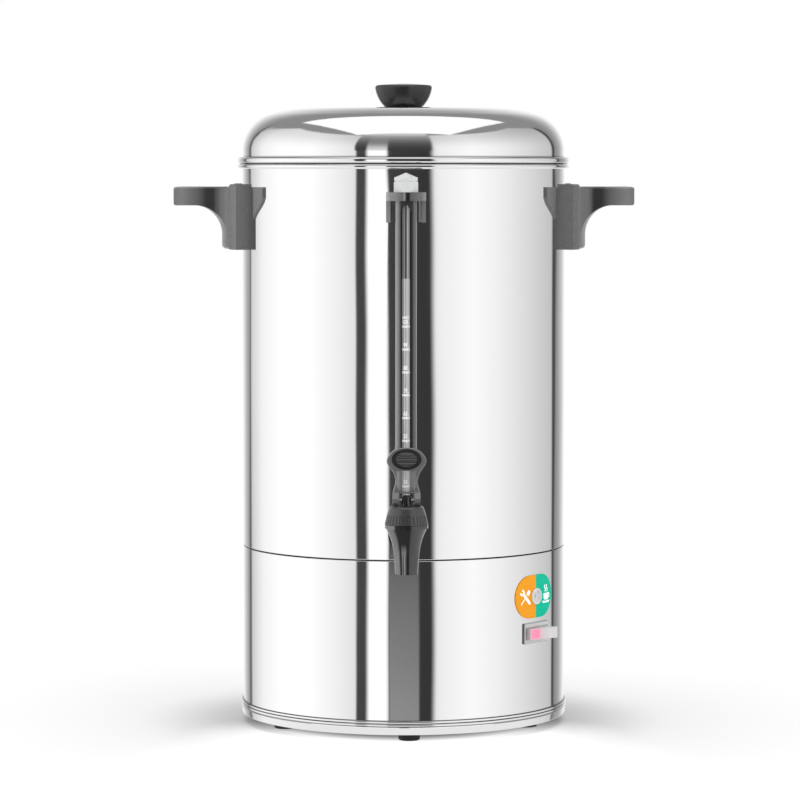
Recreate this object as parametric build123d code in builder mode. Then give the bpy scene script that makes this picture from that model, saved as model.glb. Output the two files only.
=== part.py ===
"""A 10 litre hot water urn: a steel vessel on a base skirt, with a lid, two side handles,
a lever tap, a sight gauge, an indicator plate with its reset button, and a rocker switch.

Millimetres. +Z is up, the origin is on the floor under the urn's axis, and the tap faces -Y.
Angles round the urn are counted from the tap, positive towards +X.
"""
from build123d import *
import os
from math import acos, asin, atan2, cos, degrees, radians, sin, sqrt

os.makedirs("parts", exist_ok=True)

# ---------------------------------------------------------------- driving dimensions
touch = 0.05                 # gap left between round faces that meet in one assembly
slip = 0.2                   # gap round a fastener or a tube in its hole
run_fit = 0.06               # radial clearance of a pin or stem that moves
free_gap = 0.35              # gap between faces of two moving bodies

sheet = 0.8                  # wall of the drawn steel pieces
vessel_r = 133.5             # outside radius of the vessel and of the skirt under it
vessel_low_z = 148.0         # lower edge of the vessel: the seam on the skirt
vessel_floor_z = 154.0       # inside of the vessel's bottom, the zero of the litre scale
vessel_floor_t = 1.0
vessel_rim_z = 462.8         # top of the rolled rim
rim_bead_h = 3.8
rim_bead_out = 3.7           # how far the rolled rim stands out of the wall
rim_bead_fillet = 1.7

lid_gap = 0.4                # between the rim and the lid's own bead
lid_bead_h = 5.2
lid_bead_fillet = 2.1
lid_wall_in = 0.5            # how far the lid's wall stands inside the vessel's outside
lid_wall_h = 10.2            # from the bead's underside to where the shoulder starts
lid_shoulder_r = 31.5        # tight curve of the shoulder
lid_shoulder_turn = 70.7     # degrees that the tight curve turns
lid_dome_r = 96.5            # wider curve from the shoulder to the crown
lid_crown_edge = 89.2        # degrees turned where the nearly flat crown starts
lid_ring_h = 18.5            # inner ring that centres the lid in the vessel
lid_ring_drop = 9.0          # how far that ring hangs below the rim gap

knob_base_r = 14.8
knob_top_r = 23.4
knob_h = 19.8
knob_edge_h = 3.0            # height of the rounded edge under the crowned top
knob_crown = 1.1
knob_bulge = 1.7             # how far its side bows out between base and edge
knob_insert_r = 4.2
knob_insert_l = 10.0
knob_screw_r = 2.5
knob_screw_head_r = 4.8
knob_screw_head_h = 3.2
knob_washer_r = 9.0
knob_washer_t = 1.2

skirt_gap = 0.9              # the seam between the skirt and the vessel
skirt_neck_h = 4.6           # neck of the skirt inside the vessel's lower edge
skirt_neck_step = 1.6
seam_round = 0.5             # rounds of the two edges that meet at the seam
pan_low_z = 7.6              # underside of the base pan's rolled edge
pan_floor_z = 8.6            # underside of the pan's floor
pan_floor_t = 1.0
pan_rim_z = 19.1             # top of the two beads rolled into the pan's edge
pan_bead_low_z = 16.5        # line between the two beads
pan_band_z = 14.2            # line between the beads and the plain band under them
pan_groove_t = 0.8           # sheet left at those two lines
pan_band_lean = 0.9          # how far the band leans in towards its foot
pan_edge_fillet = 0.6
pan_rim_t = 1.6              # the band is a folded sheet
pan_vent_l = 26.0
pan_vent_w = 3.0
pan_vent_ring_r = 48.0
pan_vent_count = 8

foot_count = 5
foot_front_step = 66.0       # degrees between the front foot and the two beside it
foot_inset = 24.5            # from the skirt's outside to the ring of the feet
foot_turn = 1.6              # degrees between the tap's plane and the first foot
foot_r = 8.7
foot_fillet = 1.2
foot_recess_r = 4.6
foot_recess_h = 4.0
foot_screw_r = 2.0
foot_screw_head_r = 3.9
foot_screw_head_h = 2.6
foot_screw_above = 3.0       # thread that shows above the pan's floor

tie_count = 3
tie_foot_gap = 7.7           # between a tie rod's nut and the nearest foot
tie_turn = 0.0               # degrees from the tap to the first tie rod
tie_r = 2.5
tie_collar_r = 5.0
tie_collar_h = 2.0
tie_end = 0.8                # thread that shows under its nut
nut_flats = 8.0              # hexagon nuts on the tie rods
nut_h = 4.0

plate_r = 72.0               # aluminium heat spreader under the vessel
plate_t = 3.0
element_ring_r = 58.0
element_tube_r = 3.5
element_gap_deg = 24.0       # opening between the element's two ends
element_bend_r = 6.0
element_leg_h = 12.0
element_pin_r = 1.6
element_pin_h = 9.0
stud_r = 3.0
stud_l = 21.0
clamp_l = 134.0
clamp_w = 24.0
clamp_t = 1.5
strap_w = 9.0
strap_l = 86.0
strap_t = 1.5
clamp_nut_flats = 10.0
clamp_nut_h = 5.0
sensor_ring_r = 35.0
sensor_r = 8.0
sensor_tab_w = 4.8
sensor_tab_t = 0.8
sensor_tab_h = 8.0
shield_z = 104.0
shield_r = 112.0
shield_lip_h = 8.0
shield_slot_w = 16.0         # the element's two legs pass through this
shield_slot_l = 40.0

handle_low_z = 393.3
handle_grip_low_z = 429.0
handle_top_z = 444.1
handle_pad_t = 16.8          # how far the pad stands out of the vessel
handle_pad_deg = 25.2        # half of the arc that the pad covers
handle_reach = 55.1          # how far the grip's end stands out of the vessel
handle_grip_half = 35.0
handle_flare_r = 12.0
handle_end_r = 8.0
handle_under_r = 24.0        # curve from the pad to the grip's underside
handle_edge_r = 2.0
handle_foot_r = 3.0          # round along the pad's foot
handle_tower_deg = 6.0       # arc of the raised tower at each end of the pad
handle_tower_h = 2.4
handle_tower_out = 0.8
handle_tower_in = 3.7        # from the vessel to the tower's inner side
handle_tower_slope = 1.2
handle_sweep_deg = 40.0      # arc turned for the handle's underside, wider than the pad
handle_flange_t = 2.5        # thin flange that wraps the vessel past the pad
handle_flange_deg = 33.0
handle_flange_low_z = 435.5
handle_flange_foot_z = 408.0
handle_screw_deg = 20.5
handle_screw_z = 417.0
handle_screw_r = 2.5
handle_screw_in = 12.0       # thread inside the pad
handle_screw_head_r = 4.6
handle_screw_head_h = 3.0
handle_washer_r = 6.0
handle_washer_t = 1.0

tap_z = 168.5                # axis of the tap's shank through the vessel
tap_reach = 40.5             # from the vessel's wall to the tap's upright axis
tap_shank_r = 8.5
tap_shank_in = 15.0          # shank inside the vessel
tap_shank_bore_r = 5.0
tap_flange_r = 14.0
tap_flange_t = 3.0
tap_gasket_r = 13.2
tap_gasket_t = 1.2
tap_nut_flats = 24.0
tap_nut_h = 6.0
spout_low_z = 141.8
spout_end_r = 8.85
spout_waist_r = 9.9
spout_waist_z = 156.0
spout_bore_r = 6.5
seat_bore_r = 5.4
seat_z = 163.0
seat_wall = 6.0
chamber_r = 9.0
tap_rim_r = 17.0
tap_rim_low_z = 178.0
tap_rim_top_z = 180.9
tap_cup_r = 16.2             # the body just under its rim
tap_neck_r = 13.0
tap_neck_top_z = 186.0
bonnet_low_r = 17.1
bonnet_mid_r = 15.2
bonnet_mid_z = 189.1
bonnet_top_r = 13.0
bonnet_top_z = 195.6
bonnet_roof_t = 3.2
bonnet_round = 3.0
knurl_count = 36
knurl_r = 0.45
stem_r = 3.9
stem_low_r = 2.6
stem_pin_z = 200.0           # the lever's pin
stem_top_z = 203.9
stem_round = 2.5
stem_collar_r = 7.4
stem_collar_t = 1.4
stem_collar_z = 169.6
stem_low_l = 4.4
seat_cup_r = 7.6
seat_cup_t = 3.2
seat_cup_wall = 1.4
seat_plug_h = 1.6
spring_wire_r = 0.45
spring_coil_r = 6.0
spring_turns = 7
lever_pin_r = 1.5

lever_top_z = 241.3
lever_head_z = 230.9         # height of the paddle's widest place
lever_head_half = 15.5
lever_brow_z = 239.1         # shoulder of the oval paddle
lever_brow_half = 9.8
lever_neck_z = 220.9         # under the paddle, above the waist
lever_neck_half = 10.2
lever_waist_z = 216.6
lever_waist_half = 8.9
lever_foot_z = 205.2
lever_foot_half = 10.9
lever_t = 5.6
lever_edge_r = 1.1
lever_oval_half = 11.7
lever_oval_high = 8.2
lever_oval_z = 232.1
lever_oval_d = 0.9
lever_rib_half = 8.8
lever_rib_high = 5.9
lever_rib_z = 230.6
lever_rib_count = 7
lever_rib_t = 0.9
lever_window_half = 7.6
lever_window_low_z = 206.8
lever_window_top_z = 223.2
lever_window_neck = 5.9      # half width at the window's foot
lever_window_t = 1.6
cheek_t = 4.6
cheek_back = 4.6             # cheek behind the pin
cheek_front = 6.4            # cheek in front of the pin
cheek_toe = 3.6              # flat toe of the cam in front of the pin

gauge_reach = 10.4           # from the vessel's wall to the sight tube's axis
tube_r = 3.2
tube_wall = 0.8
tube_low_z = 180.0
tube_top_z = 447.0
gauge_boss_r = 8.0
gauge_boss_top_z = 188.0
gauge_port_r = 2.6
gauge_seal_r = 5.4
gauge_seal_h = 4.0
guard_half = 8.4
guard_front = 7.4            # front face, from the tube's axis
guard_back = 10.0            # back face, from the tube's axis
guard_wall = 1.8
guard_slot_half = 4.2
guard_slot_top_z = 431.6
guard_slot_point = 5.6
guard_slot_low_z = 194.0
guard_fillet = 3.0
bracket_half = 15.7
bracket_low_z = 416.8
bracket_band_z = 433.8
bracket_top_z = 440.6
bracket_front = 9.0
bracket_ear_t = 3.5
bracket_fillet = 3.0
bracket_screw_x = 12.0
bracket_screw_r = 1.6
bracket_screw_in = 8.0
bracket_screw_head_r = 3.0
bracket_screw_head_h = 2.0
cap_r = 9.6
cap_notch_r = 8.7
cap_notch_z = 449.2
cap_shoulder_r = 9.3
cap_shoulder_z = 452.2
cap_top_z = 456.1

plate_turn = 52.4            # degrees from the tap to the indicator plate
plate_z = 112.8
plate_w = 50.6
plate_h = 35.0
plate_skin = 0.6
button_r = 4.3
button_dome = 1.4
button_out = 2.6
button_ring_r = 6.6
button_ring_out = 1.5
button_stem_r = 2.0
button_skirt = 4.0
button_room = 8.0            # depth of the housing's bore behind its front
button_seat_gap = 0.25       # round flange on the curved plate
button_body_r = 5.5
button_body_l = 16.0
button_nut_flats = 15.0
button_nut_h = 2.5

switch_turn = 52.3
switch_z = 83.4
switch_bezel_w = 33.6
switch_bezel_h = 16.8
switch_bezel_out = 2.0
switch_bezel_r = 1.2
switch_wall = 1.2
switch_depth = 22.0
rocker_l = 28.6
rocker_h = 8.9
rocker_side_gap = 0.35
rocker_end_gap = 0.9
rocker_tilt = 15.0           # degrees each way from the middle
rocker_end_out = 11.4         # rocker's ends above its pivot
rocker_mid_out = 10.0
rocker_under = 2.0
rocker_floor = 8.0           # cavity's floor under the pivot
rocker_pivot_r = 1.3
rocker_pivot_l = 1.0
terminal_w = 4.8
terminal_t = 0.8
terminal_l = 9.0
terminal_pitch = 10.0
terminal_count = 3

inlet_turn = 180.0
inlet_z = 48.0
inlet_flange_w = 48.0
inlet_flange_h = 22.5
inlet_flange_out = 3.0
inlet_flange_r = 4.0
inlet_body_w = 28.0
inlet_body_h = 20.0
inlet_body_l = 28.0
inlet_socket_w = 24.0
inlet_socket_h = 16.0
inlet_socket_d = 20.0
inlet_pin_l = 13.0
inlet_pin_w = 2.0
inlet_pin_h = 4.0
inlet_pin_pitch = 7.0
inlet_pin_rise = 2.0         # the earth pin stands this much above the middle
inlet_tab_l = 8.0
inlet_screw_pitch = 40.0
inlet_screw_r = 1.6
inlet_screw_l = 9.0
inlet_screw_head_r = 3.0
inlet_screw_head_h = 1.8

wire_r = 1.1
wire_bend = 6.0
wire_lead = 22.0             # straight run of a wire behind its terminal
wire_dip = 10.0              # a wire's lowest point under the terminal that it serves
wire_slot_x = 4.0            # from the middle of the shield's slot
wire_slot_y = 14.0

# ---------------------------------------------------------------- worked out from them
vessel_in_r = vessel_r - sheet
lid_low_z = vessel_rim_z + lid_gap
lid_wall_r = vessel_r - lid_wall_in
lid_bead_r = vessel_r + rim_bead_out
skirt_top_z = vessel_low_z - skirt_gap
pan_top_z = pan_floor_z + pan_floor_t
foot_ring_r = vessel_r - foot_inset
foot_step = (360 - 2 * foot_front_step) / (foot_count - 2)
foot_turns = [foot_turn]
foot_turns += [foot_turn + foot_front_step + k * foot_step for k in range(foot_count - 1)]
tie_ring_r = foot_ring_r - foot_r - tie_foot_gap - nut_flats / sqrt(3)
under_floor_z = vessel_floor_z - vessel_floor_t
plate_low_z = under_floor_z - plate_t
clamp_top_z = plate_low_z - 2 * element_tube_r - 2 * touch
clamp_low_z = clamp_top_z - clamp_t
strap_low_z = clamp_low_z - strap_t
tap_y = -(vessel_r + tap_reach)
gauge_y = -(vessel_r + gauge_reach)
guard_top_z = bracket_top_z
pan_in_r = vessel_r + touch
pan_out_r = pan_in_r + pan_rim_t
pan_groove_r = pan_in_r + pan_groove_t
pan_foot_r = pan_out_r - pan_band_lean
cheek_low = stem_pin_z - bonnet_top_z - free_gap
below = (Align.CENTER, Align.CENTER, Align.MAX)
above = (Align.CENTER, Align.CENTER, Align.MIN)
switch_body_h = rocker_h + 2 * (rocker_side_gap + switch_wall)


def ring_plane(turn, radius, height):
    """A plane facing away from the urn's axis: x runs round the urn, y runs up."""
    a = radians(turn)
    return Plane(
        origin=(radius * sin(a), -radius * cos(a), height),
        x_dir=(cos(a), sin(a), 0),
        z_dir=(sin(a), -cos(a), 0),
    )


def section_plane(turn):
    """The upright plane through the axis: x runs outwards, y runs up."""
    a = radians(turn)
    return Plane(origin=(0, 0, 0), x_dir=(sin(a), -cos(a), 0), z_dir=(-cos(a), -sin(a), 0))


def ring_places(radius, count, first):
    """Places round the urn's axis, counted from the tap's side."""
    return PolarLocations(radius, count, start_angle=first - 90)


def wedge(start, end):
    """Keeps the part of a sketch between two angles, counted from +X."""
    far = 4 * vessel_r
    tips = [(far * cos(radians(a)), far * sin(radians(a))) for a in (start, end)]
    Polygon((0, 0), *tips, align=None, mode=Mode.INTERSECT)


def rings(piece, radius):
    """The piece's round edges of one radius."""
    circles = piece.edges().filter_by(GeomType.CIRCLE)
    return circles.filter_by(lambda edge: abs(edge.radius - radius) < 0.01)


def finish(piece, name):
    """Names one finished piece and writes its file."""
    piece.part.label = name
    export_step(piece.part, f"parts/{name}.step")


# ---------------------------------------------------------------- lid
def lid_section(inset):
    """The lid's outline from its bead to the axis, moved inwards by inset."""
    turn = radians(lid_shoulder_turn)
    edge = radians(lid_crown_edge)
    low = (lid_wall_r - lid_shoulder_r, lid_low_z + lid_wall_h)
    side = lid_dome_r - lid_shoulder_r
    mid = (low[0] - side * cos(turn), low[1] - side * sin(turn))
    crown_r = lid_dome_r + mid[0] / cos(edge)
    top = (0, mid[1] - (crown_r - lid_dome_r) * sin(edge))
    start = (lid_wall_r - inset, lid_low_z)
    Line(start, (lid_wall_r - inset, low[1]))
    CenterArc(low, lid_shoulder_r - inset, 0, lid_shoulder_turn)
    CenterArc(mid, lid_dome_r - inset, lid_shoulder_turn, lid_crown_edge - lid_shoulder_turn)
    CenterArc(top, crown_r - inset, lid_crown_edge, 90 - lid_crown_edge)
    Line((0, top[1] + crown_r - inset), (0, lid_low_z))
    Line((0, lid_low_z), start)
    return top[1] + crown_r


with BuildPart() as lid_shell:
    with BuildSketch(Plane.XZ):
        with BuildLine():
            lid_top_z = lid_section(0)
        make_face()
        with BuildLine():
            lid_section(sheet)
        make_face(mode=Mode.SUBTRACT)
        with Locations((lid_wall_r - sheet, lid_low_z)):
            Rectangle(lid_bead_r - lid_wall_r + sheet, lid_bead_h, align=Align.MIN)
    revolve(axis=Axis.Z)
    fillet(rings(lid_shell, lid_bead_r), lid_bead_fillet)
    with Locations((0, 0, lid_top_z)):
        Hole(knob_screw_r + slip)
finish(lid_shell, "lid_shell")

with BuildPart() as lid_ring:
    with BuildSketch(Plane.XY.offset(lid_low_z - lid_ring_drop)):
        Circle(lid_wall_r - sheet)
        Circle(lid_wall_r - 2 * sheet, mode=Mode.SUBTRACT)
    extrude(amount=lid_ring_h)
finish(lid_ring, "lid_ring")

with BuildPart() as lid_knob:
    edge_z = lid_top_z + knob_h - knob_crown - knob_edge_h
    crown_z = lid_top_z + knob_h
    crown_edge_r = knob_top_r - 0.8 * knob_edge_h
    crown_r = (crown_edge_r**2 + knob_crown**2) / (2 * knob_crown)
    crown_start = degrees(acos(crown_edge_r / crown_r))
    with BuildSketch(Plane.XZ):
        with BuildLine():
            Line((0, lid_top_z), (knob_base_r, lid_top_z))
            ThreePointArc(
                (knob_base_r, lid_top_z),
                ((knob_base_r + knob_top_r) / 2 + knob_bulge, (lid_top_z + edge_z) / 2),
                (knob_top_r, edge_z),
            )
            ThreePointArc(
                (knob_top_r, edge_z),
                (knob_top_r - 0.1 * knob_edge_h, edge_z + 0.7 * knob_edge_h),
                (crown_edge_r, edge_z + knob_edge_h),
            )
            CenterArc((0, crown_z - crown_r), crown_r, crown_start, 90 - crown_start)
            Line((0, crown_z), (0, lid_top_z))
        make_face()
    revolve(axis=Axis.Z)
    with Locations((0, 0, lid_top_z)):
        Cylinder(
            knob_insert_r,
            knob_insert_l,
            align=above,
            mode=Mode.SUBTRACT,
        )
finish(lid_knob, "lid_knob")

with BuildPart() as knob_insert:
    with BuildSketch(Plane.XY.offset(lid_top_z)):
        Circle(knob_insert_r)
        Circle(knob_screw_r + touch, mode=Mode.SUBTRACT)
    extrude(amount=knob_insert_l)
finish(knob_insert, "knob_insert")

knob_washer_top_z = lid_top_z - sheet - touch
with BuildPart() as knob_washer:
    with BuildSketch(Plane.XY.offset(knob_washer_top_z)):
        Circle(knob_washer_r)
        Circle(knob_screw_r + slip, mode=Mode.SUBTRACT)
    extrude(amount=-knob_washer_t)
finish(knob_washer, "knob_washer")

knob_head_z = knob_washer_top_z - knob_washer_t
with BuildPart() as knob_screw:
    with BuildSketch(Plane.XY.offset(knob_head_z)):
        Circle(knob_screw_r)
    extrude(amount=lid_top_z + knob_insert_l - 1 - knob_head_z)
    with BuildSketch(Plane.XY.offset(knob_head_z)):
        Circle(knob_screw_head_r)
    extrude(amount=-knob_screw_head_h)
    fillet(knob_screw.faces().sort_by(Axis.Z)[0].edges(), 0.8)
    with BuildSketch(Plane.XY.offset(knob_head_z - knob_screw_head_h)):
        Rectangle(knob_screw_head_r * 1.2, 1.1)
    extrude(amount=1.4, mode=Mode.SUBTRACT)
finish(knob_screw, "knob_screw")


# ---------------------------------------------------------------- vessel and base
def radial_hole(turn, height, radius):
    """A round hole through the wall, at one angle and height."""
    with Locations(ring_plane(turn, vessel_r, height)):
        Cylinder(radius, 6 * sheet + 2, mode=Mode.SUBTRACT)


handle_screw_turns = [
    side + step for side in (90, -90) for step in (-handle_screw_deg, handle_screw_deg)
]
bracket_screw_turn = degrees(asin(bracket_screw_x / vessel_r))
bracket_screw_z = (bracket_band_z + bracket_top_z) / 2

with BuildPart() as vessel:
    with BuildSketch(Plane.XZ):
        with Locations((vessel_in_r, vessel_low_z)):
            Rectangle(sheet, vessel_rim_z - vessel_low_z, align=Align.MIN)
        with Locations((0, under_floor_z)):
            Rectangle(vessel_r, vessel_floor_t, align=Align.MIN)
        with Locations((vessel_in_r, vessel_rim_z - rim_bead_h)):
            Rectangle(sheet + rim_bead_out, rim_bead_h, align=Align.MIN)
        with Locations((0, under_floor_z - stud_l)):
            Rectangle(stud_r, stud_l, align=Align.MIN)
    revolve(axis=Axis.Z)
    fillet(rings(vessel, vessel_r + rim_bead_out), rim_bead_fillet)
    fillet(rings(vessel, vessel_r).sort_by(Axis.Z)[0], seam_round)
    radial_hole(0, tap_z, tap_shank_r + slip)
    for side in (-1, 1):
        radial_hole(side * bracket_screw_turn, bracket_screw_z, bracket_screw_r + slip)
    for turn in handle_screw_turns:
        radial_hole(turn, handle_screw_z, handle_screw_r + slip)
finish(vessel, "vessel")

switch_plane = ring_plane(switch_turn, vessel_r, switch_z)
inlet_plane = ring_plane(inlet_turn, vessel_r, inlet_z)
inlet_screw_spots = [(side * inlet_screw_pitch / 2, 0) for side in (-1, 1)]

with BuildPart() as base_skirt:
    with BuildSketch(Plane.XZ):
        with Locations((vessel_in_r, pan_top_z)):
            Rectangle(sheet, skirt_top_z - pan_top_z, align=Align.MIN)
        with Locations((vessel_in_r - sheet - slip, skirt_top_z - skirt_neck_step)):
            Rectangle(2 * sheet + slip, skirt_neck_step, align=Align.MIN)
            Rectangle(sheet, skirt_neck_step + skirt_neck_h, align=Align.MIN)
    revolve(axis=Axis.Z)
    fillet(rings(base_skirt, vessel_r).sort_by(Axis.Z)[-1], seam_round)
    with BuildSketch(switch_plane):
        Rectangle(rocker_l + 2 * (rocker_end_gap + switch_wall + slip), switch_body_h + 2 * slip)
    extrude(amount=8 * sheet, both=True, mode=Mode.SUBTRACT)
    with BuildSketch(inlet_plane):
        Rectangle(inlet_body_w + 2 * slip, inlet_body_h + 2 * slip)
        with Locations(*inlet_screw_spots):
            Circle(inlet_screw_r + slip)
    extrude(amount=8 * sheet, both=True, mode=Mode.SUBTRACT)
    radial_hole(plate_turn, plate_z, button_body_r + slip)
finish(base_skirt, "base_skirt")

with BuildPart() as base_pan:
    with BuildSketch(Plane.XZ):
        with BuildLine():
            ThreePointArc(
                (pan_in_r, pan_rim_z),
                (pan_out_r, (pan_rim_z + pan_bead_low_z) / 2),
                (pan_groove_r, pan_bead_low_z),
            )
            ThreePointArc(
                (pan_groove_r, pan_bead_low_z),
                (pan_out_r, (pan_bead_low_z + pan_band_z) / 2),
                (pan_groove_r, pan_band_z),
            )
            Polyline(
                (pan_groove_r, pan_band_z),
                (pan_out_r, pan_band_z - pan_rim_t / 2),
                (pan_foot_r, pan_low_z),
                (pan_in_r, pan_low_z),
                (pan_in_r, pan_rim_z),
            )
        make_face()
        with Locations((0, pan_floor_z)):
            Rectangle(pan_groove_r, pan_floor_t, align=Align.MIN)
    revolve(axis=Axis.Z)
    fillet(rings(base_pan, pan_foot_r), pan_edge_fillet)
    with BuildSketch(Plane.XY.offset(pan_floor_z)):
        for turn in foot_turns:
            with ring_places(foot_ring_r, 1, turn):
                Circle(foot_screw_r + slip)
        with ring_places(tie_ring_r, tie_count, tie_turn):
            Circle(tie_r + slip)
        with PolarLocations(pan_vent_ring_r, pan_vent_count):
            SlotOverall(pan_vent_l, pan_vent_w)
    extrude(amount=pan_floor_t, mode=Mode.SUBTRACT)
finish(base_pan, "base_pan")


# ---------------------------------------------------------------- feet and tie rods
foot_plane = Plane.XY.offset(pan_floor_z)
for number, turn in enumerate(foot_turns):
    with BuildPart() as foot:
        with BuildSketch(foot_plane):
            with ring_places(foot_ring_r, 1, turn):
                Circle(foot_r)
        extrude(amount=-pan_floor_z)
        fillet(foot.faces().sort_by(Axis.Z)[0].edges(), foot_fillet)
        with ring_places(foot_ring_r, 1, turn):
            with Locations((0, 0, foot_recess_h)):
                Hole(foot_screw_r + slip)
            with Locations((0, 0, foot_recess_h / 2)):
                Cylinder(foot_recess_r, foot_recess_h, mode=Mode.SUBTRACT)
    finish(foot, f"foot_{number + 1}")

with BuildPart() as foot_screws:
    for turn in foot_turns:
        with ring_places(foot_ring_r, 1, turn):
            with Locations((0, 0, foot_recess_h)):
                Cylinder(foot_screw_r, pan_top_z + foot_screw_above - foot_recess_h, align=above)
                Cylinder(foot_screw_head_r, foot_screw_head_h, align=below)
finish(foot_screws, "foot_screws")

tie_low_z = pan_floor_z - nut_h - tie_end
with BuildPart() as tie_rods:
    with BuildSketch(Plane.XY.offset(tie_low_z)):
        with ring_places(tie_ring_r, tie_count, tie_turn):
            Circle(tie_r)
    extrude(amount=under_floor_z - tie_low_z)
    with BuildSketch(Plane.XY.offset(shield_z)):
        with ring_places(tie_ring_r, tie_count, tie_turn):
            Circle(tie_collar_r)
    extrude(amount=-tie_collar_h)
finish(tie_rods, "tie_rods")

with BuildPart() as tie_nuts:
    with BuildSketch(Plane.XY.offset(pan_floor_z)):
        with ring_places(tie_ring_r, tie_count, tie_turn):
            RegularPolygon(nut_flats / 2, 6, major_radius=False)
            Circle(tie_r + touch, mode=Mode.SUBTRACT)
    extrude(amount=-nut_h)
finish(tie_nuts, "tie_nuts")

# ---------------------------------------------------------------- heater under the vessel
with BuildPart() as heat_plate:
    with BuildSketch(Plane.XY.offset(plate_low_z)):
        Circle(plate_r)
        Circle(stud_r + slip, mode=Mode.SUBTRACT)
    extrude(amount=plate_t)
finish(heat_plate, "heat_plate")

element_z = plate_low_z - touch - element_tube_r
element_start = radians(element_gap_deg / 2)
element_leg_z = element_z - element_bend_r - element_leg_h


def element_end(side):
    """Where the ring ends beside its gap, and the direction in which it goes on."""
    turn = side * element_start
    spot = Vector(element_ring_r * cos(turn), element_ring_r * sin(turn), element_z)
    return spot, Vector(side * sin(turn), -side * cos(turn), 0)


with BuildPart() as heating_element:
    with BuildLine() as element_path:
        for side in (1, -1):
            spot, ahead = element_end(side)
            elbow = spot + (ahead - Vector(0, 0, 1)) * element_bend_r
            TangentArc(spot, elbow, tangent=ahead)
            Line(elbow, elbow - Vector(0, 0, element_leg_h))
        CenterArc(
            (0, 0, element_z), element_ring_r, element_gap_deg / 2, 360 - element_gap_deg
        )
    leg = element_path.edges().sort_by(Axis.Z)[0]
    with BuildSketch(Plane.XY.offset(element_leg_z)):
        with Locations((leg.center().X, leg.center().Y)):
            Circle(element_tube_r)
    sweep(path=element_path.wires()[0])
    for side in (1, -1):
        spot, ahead = element_end(side)
        pin = spot + ahead * element_bend_r
        with Locations((pin.X, pin.Y, element_leg_z)):
            Cylinder(
                element_pin_r, element_pin_h, align=below
            )
finish(heating_element, "heating_element")

with BuildPart() as element_clamp:
    with BuildSketch(Plane.XY.offset(clamp_low_z)):
        with Locations(Rotation(0, 0, 60)):
            Rectangle(clamp_w, clamp_l)
        Circle(stud_r + slip, mode=Mode.SUBTRACT)
    extrude(amount=clamp_t)
finish(element_clamp, "element_clamp")

with BuildPart() as sensor_strap:
    with BuildSketch(Plane.XY.offset(strap_low_z)):
        Rectangle(strap_w, strap_l)
        Circle(stud_r + slip, mode=Mode.SUBTRACT)
    extrude(amount=strap_t)
finish(sensor_strap, "sensor_strap")

with BuildPart() as clamp_nut:
    with BuildSketch(Plane.XY.offset(strap_low_z)):
        RegularPolygon(clamp_nut_flats / 2, 6, major_radius=False)
        Circle(stud_r + touch, mode=Mode.SUBTRACT)
    extrude(amount=-clamp_nut_h)
finish(clamp_nut, "clamp_nut")

for name, side in (("thermostat", 1), ("thermal_cutout", -1)):
    with BuildPart() as sensor:
        with Locations((0, side * sensor_ring_r, clamp_low_z)):
            Cylinder(
                sensor_r, plate_low_z - clamp_low_z, align=above
            )
            with Locations((sensor_r - sensor_tab_t, 0, 0), (-sensor_r + sensor_tab_t, 0, 0)):
                Box(
                    sensor_tab_t,
                    sensor_tab_w,
                    2 * sensor_tab_h,
                )
    finish(sensor, name)

with BuildPart() as heat_shield:
    with BuildSketch(Plane.XY.offset(shield_z)):
        Circle(shield_r)
        with ring_places(tie_ring_r, tie_count, tie_turn):
            Circle(tie_r + slip, mode=Mode.SUBTRACT)
        with Locations((element_ring_r, 0)):
            Rectangle(shield_slot_w, shield_slot_l, mode=Mode.SUBTRACT)
    extrude(amount=sheet)
    with BuildSketch(Plane.XY.offset(shield_z + sheet)):
        Circle(shield_r)
        Circle(shield_r - sheet, mode=Mode.SUBTRACT)
    extrude(amount=-shield_lip_h)
finish(heat_shield, "heat_shield")

# ---------------------------------------------------------------- side handles
# The handle is joined from blanks that reach inside the vessel's wall, and the vessel's
# own round is cut out of it at the end.
def handle_section():
    """The handle's outline in the plane through its middle, from the vessel outwards."""
    seat = vessel_r - handle_pad_t
    pad = vessel_r + handle_pad_t
    far = vessel_r + handle_reach + 3 * handle_pad_t
    Polyline(
        (pad, handle_grip_low_z - handle_under_r),
        (pad, handle_low_z),
        (seat, handle_low_z),
        (seat, handle_top_z),
        (far, handle_top_z),
        (far, handle_grip_low_z),
        (pad + handle_under_r, handle_grip_low_z),
    )
    CenterArc((pad + handle_under_r, handle_grip_low_z - handle_under_r), handle_under_r, 90, 90)


def handle_screw_planes(side, radius):
    """Planes across the two screws of the handle at one side, at a radius."""
    return [
        ring_plane(side + step, radius, handle_screw_z)
        for step in (-handle_screw_deg, handle_screw_deg)
    ]


flange_wide = vessel_r * sin(radians(handle_flange_deg))
flange_narrow = vessel_r * sin(radians(handle_pad_deg)) - handle_flange_t
with BuildPart() as handle_flange:
    with BuildSketch(Plane.XY.offset(handle_low_z)):
        Circle(vessel_r + handle_flange_t)
    extrude(amount=handle_top_z - handle_low_z)
    with BuildSketch(Plane.YZ):
        with BuildLine():
            Polyline(
                (flange_wide, handle_flange_low_z),
                (flange_wide, handle_top_z),
                (0, handle_top_z),
                (0, handle_low_z),
                (flange_narrow, handle_low_z),
                (flange_narrow, handle_flange_foot_z),
            )
            Spline(
                (flange_narrow, handle_flange_foot_z),
                (flange_wide, handle_flange_low_z),
                tangents=((0, 1), (0.35, 1)),
            )
        make_face()
        mirror(about=Plane.YZ)
    extrude(amount=2 * vessel_r, mode=Mode.INTERSECT)

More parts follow.
